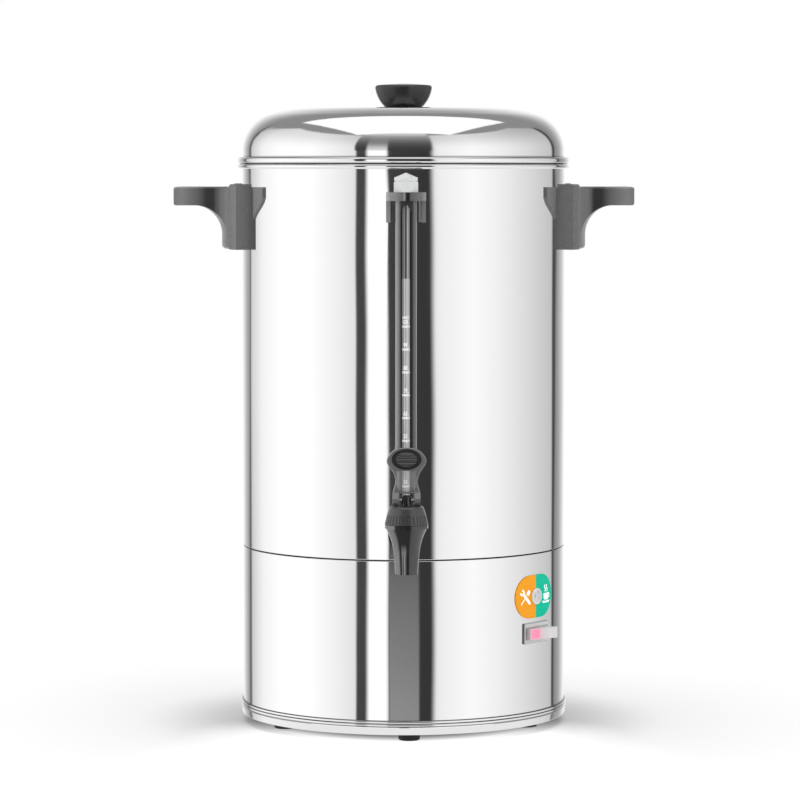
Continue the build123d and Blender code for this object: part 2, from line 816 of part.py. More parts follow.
# a raised tower at each end of the pad, sloped on its outer side
tower_r = vessel_r + handle_pad_t + handle_tower_out
with BuildPart() as handle_towers:
    for side in (-1, 1):
        with BuildSketch(Plane.XY.offset(handle_low_z)):
            Circle(tower_r)
            Circle(vessel_r + handle_tower_in, mode=Mode.SUBTRACT)
            wedge(side * (handle_pad_deg - handle_tower_deg), side * handle_pad_deg)
        extrude(amount=handle_top_z + handle_tower_h - handle_low_z)
    tower_tops = rings(handle_towers, tower_r).group_by(Axis.Z)[-1]
    chamfer(tower_tops, handle_tower_slope)

with BuildPart() as handle_right:
    with BuildSketch(section_plane(90 - handle_sweep_deg)):
        with BuildLine():
            handle_section()
        make_face()
    revolve(axis=Axis.Z, revolution_arc=2 * handle_sweep_deg)
    with BuildSketch(Plane.XY.offset(handle_low_z)):
        Circle(vessel_r + handle_pad_t)
        wedge(-handle_pad_deg, handle_pad_deg)
        with Locations((vessel_r, 0)):
            Rectangle(handle_reach, 2 * handle_grip_half, align=(Align.MIN, Align.CENTER))
        corners = vertices().filter_by(lambda v: abs(abs(v.Y) - handle_grip_half) < 0.01)
        inner, outer = corners.sort_by(Axis.X)[:2], corners.sort_by(Axis.X)[2:]
        fillet(inner, handle_flare_r)
        fillet(outer, handle_end_r)
    extrude(amount=handle_top_z - handle_low_z, mode=Mode.INTERSECT)
    fillet(handle_right.edges().group_by(Axis.Z)[-1], handle_edge_r)
    grip_low = handle_right.faces().filter_by(GeomType.PLANE).sort_by(Axis.X)[-1].edges()
    fillet(grip_low.sort_by(Axis.Z)[0], handle_edge_r)
    fillet(rings(handle_right, vessel_r + handle_pad_t).sort_by(Axis.Z)[0], handle_foot_r)
    add(handle_flange.part)
    add(handle_towers.part)
    with Locations((0, 0, handle_grip_low_z)):
        Cylinder(vessel_r + touch, 2 * vessel_r, mode=Mode.SUBTRACT)
    with Locations(*handle_screw_planes(90, vessel_r)):
        Cylinder(handle_screw_r + touch, 2 * handle_screw_in, mode=Mode.SUBTRACT)
finish(handle_right, "handle_right")

with BuildPart() as handle_left:
    add(handle_right.part.mirror(Plane.YZ))
finish(handle_left, "handle_left")

# the washers' rims seat on the curved inside of the vessel
handle_seat_r = sqrt(vessel_in_r**2 - handle_washer_r**2) - touch
with BuildPart() as handle_washers:
    with Locations(*handle_screw_planes(90, handle_seat_r), *handle_screw_planes(-90, handle_seat_r)):
        Cylinder(handle_washer_r, handle_washer_t, align=below)
        Cylinder(handle_screw_r + touch, 3 * handle_washer_t, mode=Mode.SUBTRACT)
finish(handle_washers, "handle_washers")

handle_head_r = handle_seat_r - handle_washer_t
with BuildPart() as handle_screws:
    with Locations(*handle_screw_planes(90, handle_head_r), *handle_screw_planes(-90, handle_head_r)):
        Cylinder(handle_screw_head_r, handle_screw_head_h, align=below)
        Cylinder(handle_screw_r, handle_washer_t + sheet + handle_screw_in - 1, align=above)
finish(handle_screws, "handle_screws")

# ---------------------------------------------------------------- tap
tap_axis = Axis((0, tap_y, 0), (0, 0, 1))
tap_section = Plane.XZ.offset(-tap_y)
tap_shank_plane = ring_plane(0, -tap_y, tap_z)
tap_seat_y = vessel_r + tap_gasket_t
shank_in_r = vessel_in_r - tap_shank_in
gauge_spot = (0, gauge_y)

with BuildPart() as tap_body:
    with BuildSketch(tap_section):
        with BuildLine():
            ThreePointArc(
                (spout_waist_r, spout_waist_z),
                (spout_waist_r + 0.3 * (tap_cup_r - spout_waist_r),
                 spout_waist_z + 0.5 * (tap_rim_low_z - spout_waist_z)),
                (tap_cup_r, tap_rim_low_z),
            )
            Polyline(
                (tap_cup_r, tap_rim_low_z),
                (tap_rim_r, tap_rim_low_z),
                (tap_rim_r, tap_rim_top_z),
                (tap_neck_r, tap_rim_top_z),
                (tap_neck_r, tap_neck_top_z),
                (0, tap_neck_top_z),
                (0, spout_low_z),
                (spout_end_r, spout_low_z),
                (spout_waist_r, spout_waist_z),
            )
        make_face()
    revolve(axis=tap_axis)
    with Locations(tap_shank_plane):
        Cylinder(tap_shank_r, -tap_y - shank_in_r, align=below)
    with Locations(ring_plane(0, tap_seat_y, tap_z)):
        Cylinder(tap_flange_r, tap_flange_t, align=above)
    with BuildSketch(Plane.XY.offset(tap_z)):
        with Locations(gauge_spot):
            Circle(gauge_boss_r)
    extrude(amount=gauge_boss_top_z - tap_z)
    # the chamber over the valve seat, the spout's bore and the way in
    with Locations((0, tap_y, seat_z)):
        Cylinder(chamber_r, tap_neck_top_z - seat_z, align=above, mode=Mode.SUBTRACT)
        Cylinder(seat_bore_r, seat_wall + 1, align=below, mode=Mode.SUBTRACT)
    with Locations((0, tap_y, spout_low_z)):
        Cylinder(spout_bore_r, seat_z - seat_wall - spout_low_z, align=above, mode=Mode.SUBTRACT)
    with Locations(tap_shank_plane):
        Cylinder(tap_shank_bore_r, -tap_y, align=below, mode=Mode.SUBTRACT)
    with Locations((0, gauge_y, tap_z)):
        Cylinder(gauge_port_r, gauge_boss_top_z - tap_z, align=above, mode=Mode.SUBTRACT)
    with Locations((0, gauge_y, tube_low_z)):
        Cylinder(tube_r + touch, gauge_boss_top_z - tube_low_z, align=above, mode=Mode.SUBTRACT)
    with Locations((0, gauge_y, gauge_boss_top_z)):
        Cylinder(gauge_seal_r, gauge_seal_h, align=below, mode=Mode.SUBTRACT)
finish(tap_body, "tap_body")

with BuildPart() as tap_gasket_outer:
    with Locations(ring_plane(0, tap_seat_y, tap_z)):
        Cylinder(tap_gasket_r, 2 * tap_gasket_t, align=below)
        Cylinder(tap_shank_r + touch, 6 * tap_gasket_t, mode=Mode.SUBTRACT)
    with Locations((0, 0, tap_z)):
        Cylinder(vessel_r + touch, 4 * tap_gasket_r, mode=Mode.SUBTRACT)
finish(tap_gasket_outer, "tap_gasket_outer")

tap_nut_seat = sqrt(vessel_in_r**2 - tap_gasket_r**2) - tap_gasket_t
with BuildPart() as tap_gasket_inner:
    with Locations(ring_plane(0, tap_nut_seat, tap_z)):
        Cylinder(tap_gasket_r, 4 * tap_gasket_t, align=above)
        Cylinder(tap_shank_r + touch, 12 * tap_gasket_t, mode=Mode.SUBTRACT)
    with Locations((0, 0, tap_z)):
        Cylinder(vessel_in_r - touch, 4 * tap_gasket_r, mode=Mode.INTERSECT)
finish(tap_gasket_inner, "tap_gasket_inner")

with BuildPart() as tap_nut:
    with BuildSketch(ring_plane(0, tap_nut_seat, tap_z)):
        RegularPolygon(tap_nut_flats / 2, 6, major_radius=False, rotation=30)
        Circle(tap_shank_r + touch, mode=Mode.SUBTRACT)
    extrude(amount=-tap_nut_h)
finish(tap_nut, "tap_nut")

bonnet_low_z = tap_rim_top_z + free_gap
bonnet_roof_z = bonnet_top_z - bonnet_roof_t
with BuildPart() as tap_bonnet:
    with BuildSketch(tap_section):
        with BuildLine():
            Polyline(
                (stem_r + run_fit, bonnet_roof_z),
                (stem_r + run_fit, bonnet_top_z),
                (bonnet_top_r, bonnet_top_z),
                (bonnet_mid_r, bonnet_mid_z),
                (bonnet_low_r, bonnet_low_z),
                (tap_neck_r + touch, bonnet_low_z),
                (tap_neck_r + touch, tap_neck_top_z + touch),
                (chamber_r, tap_neck_top_z + touch),
                (chamber_r, bonnet_roof_z),
                (stem_r + run_fit, bonnet_roof_z),
            )
        make_face()
        corner = vertices().filter_by(lambda v: abs(v.X - bonnet_top_r) < 0.01)
        fillet(corner, bonnet_round)
    revolve(axis=tap_axis)
    lean = degrees(atan2(bonnet_low_r - bonnet_mid_r, bonnet_mid_z - bonnet_low_z))
    knurl_l = (bonnet_mid_z - bonnet_low_z) / cos(radians(lean))
    with Locations((0, tap_y, (bonnet_low_z + bonnet_mid_z) / 2)):
        with PolarLocations((bonnet_low_r + bonnet_mid_r) / 2, knurl_count):
            Cylinder(knurl_r, 0.86 * knurl_l, rotation=(0, -lean, 0), mode=Mode.SUBTRACT)
finish(tap_bonnet, "tap_bonnet")

with BuildPart() as tap_seat:
    with Locations((0, tap_y, seat_z + touch)):
        Cylinder(seat_cup_r, seat_cup_t, align=above)
        Cylinder(seat_bore_r - free_gap, seat_plug_h, align=below)
        Cylinder(stem_low_r + seat_cup_wall, stem_collar_z - seat_z - 2 * touch, align=above)
    with Locations((0, tap_y, stem_collar_z)):
        Cylinder(stem_low_r + touch, stem_low_l, align=below, mode=Mode.SUBTRACT)
finish(tap_seat, "tap_seat")

with BuildPart() as tap_stem:
    with Locations((0, tap_y, stem_collar_z)):
        Cylinder(stem_r, stem_top_z - stem_collar_z, align=above)
        fillet(rings(tap_stem, stem_r).sort_by(Axis.Z)[-1], stem_round)
        Cylinder(stem_collar_r, stem_collar_t, align=above)
        Cylinder(stem_low_r, stem_low_l - touch, align=below)
    with Locations(Plane(origin=(0, tap_y, stem_pin_z), z_dir=(1, 0, 0))):
        Cylinder(lever_pin_r + run_fit, 4 * stem_r, mode=Mode.SUBTRACT)
finish(tap_stem, "tap_stem")

spring_low_z = stem_collar_z + stem_collar_t + spring_wire_r + touch
spring_h = bonnet_roof_z - spring_wire_r - touch - spring_low_z
with BuildPart() as tap_spring:
    with BuildLine():
        coil = Helix(spring_h / spring_turns, spring_h, spring_coil_r, center=(0, tap_y, spring_low_z))
    with BuildSketch(Plane(origin=coil @ 0, z_dir=coil % 0)):
        Circle(spring_wire_r)
    sweep(path=coil, is_frenet=True)
finish(tap_spring, "tap_spring")


def half_lever():
    """Right half of the lever's outline, from its top down to its foot."""
    Spline(
        (0, lever_top_z),
        (lever_brow_half, lever_brow_z),
        (lever_head_half, lever_head_z),
        (lever_neck_half, lever_neck_z),
        (lever_waist_half, lever_waist_z),
        (lever_foot_half, lever_foot_z),
        tangents=((1, 0), (0.25, -1)),
    )
    Polyline((lever_foot_half, lever_foot_z), (0, lever_foot_z), (0, lever_top_z))


def window_shape(gap):
    """The lever's window, smaller all round by a gap."""
    Polygon(
        (-lever_window_neck + gap, lever_window_low_z + gap),
        (lever_window_neck - gap, lever_window_low_z + gap),
        (lever_window_half - gap, lever_window_low_z + lever_window_half / 2),
        (lever_window_half - gap, lever_window_top_z - gap),
        (-lever_window_half + gap, lever_window_top_z - gap),
        (-lever_window_half + gap, lever_window_low_z + lever_window_half / 2),
        align=None,
    )


lever_front = tap_section.offset(lever_t / 2)
lever_back = tap_section.offset(-lever_t / 2)
with BuildPart() as tap_lever:
    with BuildSketch(lever_back):
        with BuildLine():
            half_lever()
        make_face()
        mirror(about=Plane.YZ)
    extrude(amount=lever_t)
    fillet(tap_lever.faces().sort_by(Axis.Y)[0].edges(), lever_edge_r)
    fillet(tap_lever.faces().sort_by(Axis.Y)[-1].edges(), lever_edge_r)
    for side in (-1, 1):
        with BuildSketch(Plane.YZ.offset(side * lever_foot_half)):
            Polygon(
                (tap_y + cheek_back, stem_pin_z - cheek_low),
                (tap_y - cheek_toe, stem_pin_z - cheek_low),
                (tap_y - cheek_front, stem_pin_z - cheek_low / 3),
                (tap_y - cheek_front, stem_pin_z + cheek_low / 3),
                (tap_y - lever_t / 2, lever_foot_z + lever_edge_r),
                (tap_y + lever_t / 2, lever_foot_z + lever_edge_r),
                (tap_y + cheek_back, stem_pin_z + cheek_low / 3),
                align=None,
            )
        extrude(amount=-side * cheek_t)
    with BuildSketch(lever_front):
        with Locations((0, lever_oval_z)):
            Ellipse(lever_oval_half, lever_oval_high)
    extrude(amount=-lever_oval_d, mode=Mode.SUBTRACT)
    rib_pitch = 2 * lever_rib_high / lever_rib_count
    with BuildSketch(lever_front.offset(-lever_oval_d)):
        with Locations((0, lever_rib_z)):
            with GridLocations(0, rib_pitch, 1, lever_rib_count):
                Rectangle(2 * lever_rib_half, lever_rib_t)
            Ellipse(lever_rib_half, lever_rib_high, mode=Mode.INTERSECT)
    extrude(amount=lever_oval_d)
    with BuildSketch(lever_front):
        window_shape(0)
    extrude(amount=-lever_t, mode=Mode.SUBTRACT)
    with Locations(Plane(origin=(0, tap_y, stem_pin_z), z_dir=(1, 0, 0))):
        Cylinder(lever_pin_r + touch, 4 * lever_foot_half, mode=Mode.SUBTRACT)
finish(tap_lever, "tap_lever")

with BuildPart() as lever_window:
    with BuildSketch(tap_section.offset(lever_window_t / 2)):
        window_shape(touch)
    extrude(amount=-lever_window_t)
finish(lever_window, "lever_window")

with BuildPart() as lever_pin:
    with Locations(Plane(origin=(0, tap_y, stem_pin_z), z_dir=(1, 0, 0))):
        Cylinder(lever_pin_r, 2 * lever_foot_half)
finish(lever_pin, "lever_pin")

# ---------------------------------------------------------------- sight gauge
with BuildPart() as sight_tube:
    with Locations((0, gauge_y, tube_low_z)):
        Cylinder(tube_r, tube_top_z - tube_low_z, align=above)
        Cylinder(tube_r - tube_wall, tube_top_z - tube_low_z, align=above, mode=Mode.SUBTRACT)
finish(sight_tube, "sight_tube")

with BuildPart() as gauge_seal:
    with Locations((0, gauge_y, gauge_boss_top_z)):
        Cylinder(gauge_seal_r - touch, gauge_seal_h - touch, align=below)
        Cylinder(tube_r + touch, 3 * gauge_seal_h, mode=Mode.SUBTRACT)
finish(gauge_seal, "gauge_seal")

guard_low_z = gauge_boss_top_z + touch
with BuildPart() as tube_guard:
    with BuildSketch(Plane.XY.offset(guard_low_z)):
        with Locations(gauge_spot):
            with Locations((0, (guard_back - guard_front) / 2)):
                Rectangle(2 * guard_half, guard_front + guard_back)
                front = vertices().sort_by(Axis.Y)[:2]
                fillet(front, guard_fillet)
                offset(amount=-guard_wall, mode=Mode.SUBTRACT)
    extrude(amount=guard_top_z - guard_low_z)
    with BuildSketch(Plane.XZ.offset(-gauge_y)):
        Polygon(
            (-guard_slot_half, guard_slot_low_z),
            (guard_slot_half, guard_slot_low_z),
            (guard_slot_half, guard_slot_top_z - guard_slot_point),
            (0, guard_slot_top_z),
            (-guard_slot_half, guard_slot_top_z - guard_slot_point),
            align=None,
        )
    extrude(amount=2 * guard_front, mode=Mode.SUBTRACT)
finish(tube_guard, "tube_guard")

with BuildPart() as tube_bracket:
    with BuildSketch(Plane.XY.offset(bracket_band_z)):
        with Locations(gauge_spot):
            Rectangle(2 * bracket_half, bracket_front + gauge_reach)
            with Locations((0, -bracket_front)):
                Rectangle(2 * bracket_half, 3 * gauge_reach, align=(Align.CENTER, Align.MIN))
        front = vertices().sort_by(Axis.Y)[:2]
        fillet(front, bracket_fillet)
    extrude(amount=bracket_top_z - bracket_band_z)
    for side in (-1, 1):
        with BuildSketch(Plane.XY.offset(bracket_band_z)):
            with Locations((side * (bracket_half - bracket_ear_t / 2), gauge_y)):
                Rectangle(bracket_ear_t, 3 * gauge_reach, align=(Align.CENTER, Align.MIN))
        extrude(amount=bracket_low_z - bracket_band_z)
    with BuildSketch(Plane.XY.offset(bracket_low_z)):
        with Locations((0, gauge_y - guard_front - slip)):
            Rectangle(
                2 * (guard_half + slip), 3 * gauge_reach, align=(Align.CENTER, Align.MIN)
            )
    extrude(amount=2 * (bracket_top_z - bracket_low_z), mode=Mode.SUBTRACT)
    with Locations((0, 0, bracket_band_z)):
        Cylinder(vessel_r + touch, 2 * vessel_r, mode=Mode.SUBTRACT)
    for side in (-1, 1):
        with Locations(ring_plane(side * bracket_screw_turn, vessel_r, bracket_screw_z)):
            Cylinder(bracket_screw_r + touch, 2 * bracket_screw_in, mode=Mode.SUBTRACT)
finish(tube_bracket, "tube_bracket")

bracket_head_r = sqrt(vessel_in_r**2 - bracket_screw_head_r**2) - touch
with BuildPart() as bracket_screws:
    with Locations(
        *[ring_plane(side * bracket_screw_turn, bracket_head_r, bracket_screw_z) for side in (-1, 1)]
    ):
        Cylinder(bracket_screw_head_r, bracket_screw_head_h, align=below)
        Cylinder(bracket_screw_r, sheet + bracket_screw_in - 1, align=above)
finish(bracket_screws, "bracket_screws")

cap_low_z = bracket_top_z + touch
with BuildPart() as tube_cap:
    with BuildSketch(Plane.XZ.offset(-gauge_y)):
        with BuildLine():
            Polyline(
                (0, cap_low_z),
                (cap_r, cap_low_z),
                (cap_r, cap_notch_z - 0.6),
                (cap_notch_r, cap_notch_z),
                (cap_shoulder_r, cap_notch_z + 0.6),
                (cap_shoulder_r, cap_shoulder_z),
                (0, cap_top_z),
                (0, cap_low_z),
            )
        make_face()
    revolve(axis=Axis((0, gauge_y, 0), (0, 0, 1)))
    with Locations((0, gauge_y, cap_low_z)):
        Cylinder(tube_r + touch, tube_top_z + touch - cap_low_z, align=above, mode=Mode.SUBTRACT)
finish(tube_cap, "tube_cap")

# ---------------------------------------------------------------- indicator plate and button
plate_face_r = vessel_r + touch + plate_skin
with BuildPart() as indicator_plate:
    with BuildSketch(ring_plane(plate_turn, vessel_r - plate_h / 2, plate_z)):
        SlotOverall(plate_w, plate_h)
        Circle(button_body_r + slip, mode=Mode.SUBTRACT)
    extrude(amount=plate_h)
    with BuildSketch(Plane.XY.offset(plate_z)):
        Circle(plate_face_r)
        Circle(vessel_r + touch, mode=Mode.SUBTRACT)
    extrude(amount=plate_h, both=True, mode=Mode.INTERSECT)
finish(indicator_plate, "indicator_plate")

button_seat_r = plate_face_r + button_seat_gap
button_front_r = button_seat_r + button_ring_out
button_back = button_ring_out + button_body_l
with BuildPart() as button_housing:
    with Locations(ring_plane(plate_turn, button_front_r, plate_z)):
        Cylinder(button_ring_r, button_ring_out, align=below)
        fillet(button_housing.edges().sort_by(lambda e: -e.center().length)[0], 0.7)
        Cylinder(button_body_r, button_back, align=below)
        Cylinder(button_r + run_fit, button_room, align=below, mode=Mode.SUBTRACT)
        Cylinder(button_stem_r + run_fit, button_back, align=below, mode=Mode.SUBTRACT)
finish(button_housing, "button_housing")

with BuildPart() as reset_button:
    with Locations(ring_plane(plate_turn, button_front_r, plate_z)):
        with BuildSketch(ring_plane(plate_turn, button_front_r + button_out - button_dome, plate_z)):
            Circle(button_r)
        extrude(amount=-(button_out - button_dome + button_skirt))
        fillet(reset_button.edges().sort_by(lambda e: -e.center().length)[0], button_dome)
        Cylinder(button_stem_r, button_back, align=below)
finish(reset_button, "reset_button")

button_nut_r = sqrt(vessel_in_r**2 - (button_nut_flats / 2 / cos(radians(30)))**2) - touch
with BuildPart() as button_nut:
    with BuildSketch(ring_plane(plate_turn, button_nut_r, plate_z)):
        RegularPolygon(button_nut_flats / 2, 6, major_radius=False)
        Circle(button_body_r + touch, mode=Mode.SUBTRACT)
    extrude(amount=-button_nut_h)
finish(button_nut, "button_nut")

# ---------------------------------------------------------------- rocker switch
opening_w = rocker_l + 2 * rocker_end_gap
opening_h = rocker_h + 2 * rocker_side_gap
with BuildPart() as switch_housing:
    with BuildSketch(switch_plane.offset(-2 * switch_bezel_out)):
        RectangleRounded(switch_bezel_w, switch_bezel_h, switch_bezel_r)
    extrude(amount=3 * switch_bezel_out)
    front = switch_housing.faces().sort_by(lambda face: -face.center().length)[0]
    chamfer(front.edges(), 0.6)
    with Locations((0, 0, switch_z)):
        Cylinder(vessel_r + touch, 4 * switch_bezel_h, mode=Mode.SUBTRACT)
    with BuildSketch(switch_plane.offset(switch_bezel_out / 2)):
        Rectangle(opening_w + 2 * switch_wall, switch_body_h)
    extrude(amount=-switch_depth)
    with BuildSketch(switch_plane.offset(switch_bezel_out)):
        Rectangle(opening_w, opening_h)
    extrude(amount=-(switch_bezel_out + rocker_floor), mode=Mode.SUBTRACT)
    with Locations(Plane(origin=switch_plane.origin, z_dir=(0, 0, 1))):
        Cylinder(
            rocker_pivot_r + run_fit,
            opening_h + 2 * rocker_pivot_l,
            mode=Mode.SUBTRACT,
        )
finish(switch_housing, "switch_housing")

rocker_plane = Plane(
    origin=switch_plane.origin,
    x_dir=switch_plane.x_dir,
    z_dir=(0, 0, -1),
).rotated((0, 0, -rocker_tilt))
with BuildPart() as switch_rocker:
    with BuildSketch(rocker_plane):
        with BuildLine():
            Polyline(
                (-rocker_l / 2, rocker_end_out),
                (-rocker_l / 2 + rocker_under, -rocker_under),
                (rocker_l / 2 - rocker_under, -rocker_under),
                (rocker_l / 2, rocker_end_out),
            )
            ThreePointArc(
                (rocker_l / 2, rocker_end_out), (0, rocker_mid_out), (-rocker_l / 2, rocker_end_out)
            )
        make_face()
    extrude(amount=rocker_h / 2, both=True)
    with BuildSketch(rocker_plane):
        Circle(rocker_pivot_r)
    extrude(amount=opening_h / 2 + rocker_pivot_l - touch, both=True)
finish(switch_rocker, "switch_rocker")

with BuildPart() as switch_terminals:
    with BuildSketch(switch_plane.offset(switch_bezel_out / 2 - switch_depth)):
        with GridLocations(terminal_pitch, 0, terminal_count, 1):
            Rectangle(terminal_t, terminal_w)
    extrude(amount=-terminal_l)
finish(switch_terminals, "switch_terminals")

# ---------------------------------------------------------------- power inlet
inlet_pin_spots = [
    (-inlet_pin_pitch, 0),
    (0, inlet_pin_rise),
    (inlet_pin_pitch, 0),
]
with BuildPart() as inlet_body:
    with BuildSketch(inlet_plane.offset(-inlet_flange_out)):
        RectangleRounded(inlet_flange_w, inlet_flange_h, inlet_flange_r)
    extrude(amount=2 * inlet_flange_out)
    with Locations((0, 0, inlet_z)):
        Cylinder(vessel_r + touch, 4 * inlet_flange_h, mode=Mode.SUBTRACT)
    with BuildSketch(inlet_plane.offset(inlet_flange_out / 2)):
        Rectangle(inlet_body_w, inlet_body_h)
    extrude(amount=-(inlet_body_l + inlet_flange_out / 2))
    with BuildSketch(inlet_plane.offset(inlet_flange_out)):
        RectangleRounded(inlet_socket_w, inlet_socket_h, 2 * inlet_pin_w)
    extrude(amount=-inlet_socket_d, mode=Mode.SUBTRACT)
    with BuildSketch(inlet_plane.offset(inlet_flange_out)):
        with Locations(*inlet_screw_spots):
            Circle(inlet_screw_r + touch)
        with Locations(*inlet_pin_spots):
            Rectangle(inlet_pin_w + 2 * touch, inlet_pin_h + 2 * touch)
    extrude(amount=-2 * inlet_body_l, mode=Mode.SUBTRACT)
finish(inlet_body, "inlet_body")

with BuildPart() as inlet_pins:
    with BuildSketch(inlet_plane.offset(inlet_flange_out - inlet_socket_d + inlet_pin_l)):
        with Locations(*inlet_pin_spots):
            Rectangle(inlet_pin_w, inlet_pin_h)
    extrude(amount=-(inlet_pin_l + inlet_body_l + inlet_flange_out - inlet_socket_d + inlet_tab_l))
finish(inlet_pins, "inlet_pins")

with BuildPart() as inlet_screws:
    with BuildSketch(inlet_plane.offset(inlet_flange_out)):
        with Locations(*inlet_screw_spots):
            Circle(inlet_screw_r)
    extrude(amount=-inlet_screw_l)
    with BuildSketch(inlet_plane.offset(inlet_flange_out)):
        with Locations(*inlet_screw_spots):
            Circle(inlet_screw_head_r)
    extrude(amount=inlet_screw_head_h)
finish(inlet_screws, "inlet_screws")

# ---------------------------------------------------------------- wiring inside the base
switch_tail = switch_plane.offset(switch_bezel_out / 2 - switch_depth - terminal_l - touch)
inlet_tail = inlet_plane.offset(-inlet_body_l - inlet_tab_l - touch)
shield_low_z = shield_z + sheet - shield_lip_h
tab_low_z = clamp_low_z - sensor_tab_h - touch
tab_x = sensor_r - sensor_tab_t
element_pins = [
    element_end(side)[0] + element_end(side)[1] * element_bend_r for side in (-1, 1)
]
pin_low_z = element_leg_z - element_pin_h - touch


def tail_spot(tail, x, y, lead):
    """A place behind one terminal, as far behind it as the lead says."""
    return tail.from_local_coords((x, y, -lead))


def over(spot, height):
    """The same spot at another height."""
    return (spot[0], spot[1], height)


cutout_tabs = [(side * tab_x, -sensor_ring_r) for side in (-1, 1)]
slot_spot = (element_ring_r - wire_slot_x, -wire_slot_y)
near_pin, far_pin = [(pin.X, pin.Y) for pin in element_pins]
live_in = [
    tail_spot(inlet_tail, -inlet_pin_pitch, 0, 0),
    tail_spot(inlet_tail, -inlet_pin_pitch, 0, wire_lead),
    tail_spot(switch_tail, terminal_pitch, 0, wire_lead),
    tail_spot(switch_tail, terminal_pitch, 0, 0),
]
switched = [
    tail_spot(switch_tail, -terminal_pitch, 0, 0),
    tail_spot(switch_tail, -terminal_pitch, 0, wire_lead),
    over(slot_spot, shield_low_z),
    over(slot_spot, pin_low_z),
    over(cutout_tabs[1], pin_low_z),
    over(cutout_tabs[1], tab_low_z),
]
to_element = [
    over(cutout_tabs[0], tab_low_z),
    over(cutout_tabs[0], tab_low_z - 2 * wire_dip),
    over(near_pin, pin_low_z - wire_dip),
    over(near_pin, pin_low_z),
]
neutral = [
    tail_spot(inlet_tail, inlet_pin_pitch, 0, 0),
    tail_spot(inlet_tail, inlet_pin_pitch, 0, wire_lead),
    over(far_pin, shield_low_z - wire_dip),
    over(far_pin, pin_low_z),
]
earth_low = tail_spot(inlet_tail, 0, inlet_pin_rise, wire_lead)
earth = [
    tail_spot(inlet_tail, 0, inlet_pin_rise, 0),
    earth_low,
    (earth_low.X, earth_low.Y, pan_top_z + touch),
]

with BuildPart() as wiring:
    for run in (live_in, switched, to_element, neutral, earth):
        with BuildLine() as path:
            FilletPolyline(*run, radius=wire_bend)
        with BuildSketch(Plane(origin=path.line @ 0, z_dir=path.line % 0)):
            Circle(wire_r)
        sweep(path=path.wires()[0])
finish(wiring, "wiring")
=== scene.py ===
# %% [markdown]
# # A hot water urn in a white studio
#
# The urn comes as a finished assembly of rigid parts, one object for each piece of metal, plastic,
# rubber or glass. This lesson dresses it: it sets up the camera and the light, gives every part
# the surface its real counterpart has, and adds the thin things that no solid holds, such as the
# litre scale on the sight tube and the two signs on the indicator plate.

# %% Load the assembly
from math import cos, degrees, hypot, pi, radians, sin

import bmesh
import bpy
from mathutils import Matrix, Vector


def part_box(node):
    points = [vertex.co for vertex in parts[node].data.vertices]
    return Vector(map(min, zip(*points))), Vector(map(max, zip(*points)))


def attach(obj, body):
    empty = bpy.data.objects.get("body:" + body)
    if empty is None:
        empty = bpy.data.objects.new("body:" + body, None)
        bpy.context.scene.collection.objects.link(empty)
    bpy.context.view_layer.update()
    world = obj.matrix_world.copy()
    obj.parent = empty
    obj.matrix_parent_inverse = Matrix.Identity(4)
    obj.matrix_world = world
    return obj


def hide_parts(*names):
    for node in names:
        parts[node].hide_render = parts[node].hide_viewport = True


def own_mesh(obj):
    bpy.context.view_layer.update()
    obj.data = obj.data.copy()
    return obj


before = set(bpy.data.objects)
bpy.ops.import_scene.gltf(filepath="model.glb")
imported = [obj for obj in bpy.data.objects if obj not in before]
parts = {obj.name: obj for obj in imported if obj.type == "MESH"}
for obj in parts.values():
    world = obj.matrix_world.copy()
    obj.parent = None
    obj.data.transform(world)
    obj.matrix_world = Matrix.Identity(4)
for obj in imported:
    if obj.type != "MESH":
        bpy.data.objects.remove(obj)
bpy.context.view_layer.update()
scene = bpy.context.scene
MM = 0.001

# %% [markdown]
# ## Camera
#
# A long lens far away keeps the cylinder's sides parallel. An orthographic camera would do that
# too, but it would lose the small difference between the near rim and the far one. The lens looks
# down by a few degrees, so that the foot of the urn shows as a shallow curve while the lid shows
# almost from the side.

# %% Make the camera
CAMERA_FAR = 2.937           # metres from the urn's axis
CAMERA_HIGH = 0.4636
CAMERA_TURN = radians(0.75)  # a little to the left of the tap
CAMERA_DOWN = radians(3.83)
LENS = 159.3                 # focal length, in millimetres
FILM_WIDE = 36
FILM_SHIFT = -0.0045         # as a part of the film's width
SEES_TO = 50                 # metres

camera = bpy.data.objects.new("studio_camera", bpy.data.cameras.new("studio_camera"))
scene.collection.objects.link(camera)
camera.location = (-CAMERA_FAR * sin(CAMERA_TURN), -CAMERA_FAR * cos(CAMERA_TURN), CAMERA_HIGH)
camera.rotation_euler = (pi / 2 - CAMERA_DOWN, 0, -CAMERA_TURN)
camera.data.lens = LENS
camera.data.sensor_width = FILM_WIDE
camera.data.shift_x = FILM_SHIFT
camera.data.clip_end = SEES_TO
scene.camera = camera
scene.view_settings.view_transform = "Standard"
print("camera at", [round(v, 3) for v in camera.location])

# %% [markdown]
# ## Small helpers for node trees
#
# Every material and the studio itself are node trees. They could be drawn by hand in the node
# editor, but a script repeats the same few moves, so each move is a short helper: add a node, do
# arithmetic, turn a value into a smooth step, blend two colours, or run a tone along a value. A
# helper takes either a plain number or another node's output.

# %% Nodes and arithmetic
def connect(tree, socket, value):
    """Feeds a socket from another node's output, or sets it to a plain value."""
    if isinstance(value, bpy.types.NodeSocket):
        tree.links.new(value, socket)
    else:
        socket.default_value = value


def add_node(tree, kind, inputs=None, **settings):
    """Adds one node; inputs maps socket names or numbers to values."""
    node = tree.nodes.new(kind)
    for name, value in settings.items():
        setattr(node, name, value)
    for name, value in (inputs or {}).items():
        connect(tree, node.inputs[name], value)
    return node


def calc(tree, operation, *values):
    """One arithmetic step."""
    return add_node(tree, "ShaderNodeMath", dict(enumerate(values)), operation=operation).outputs[0]


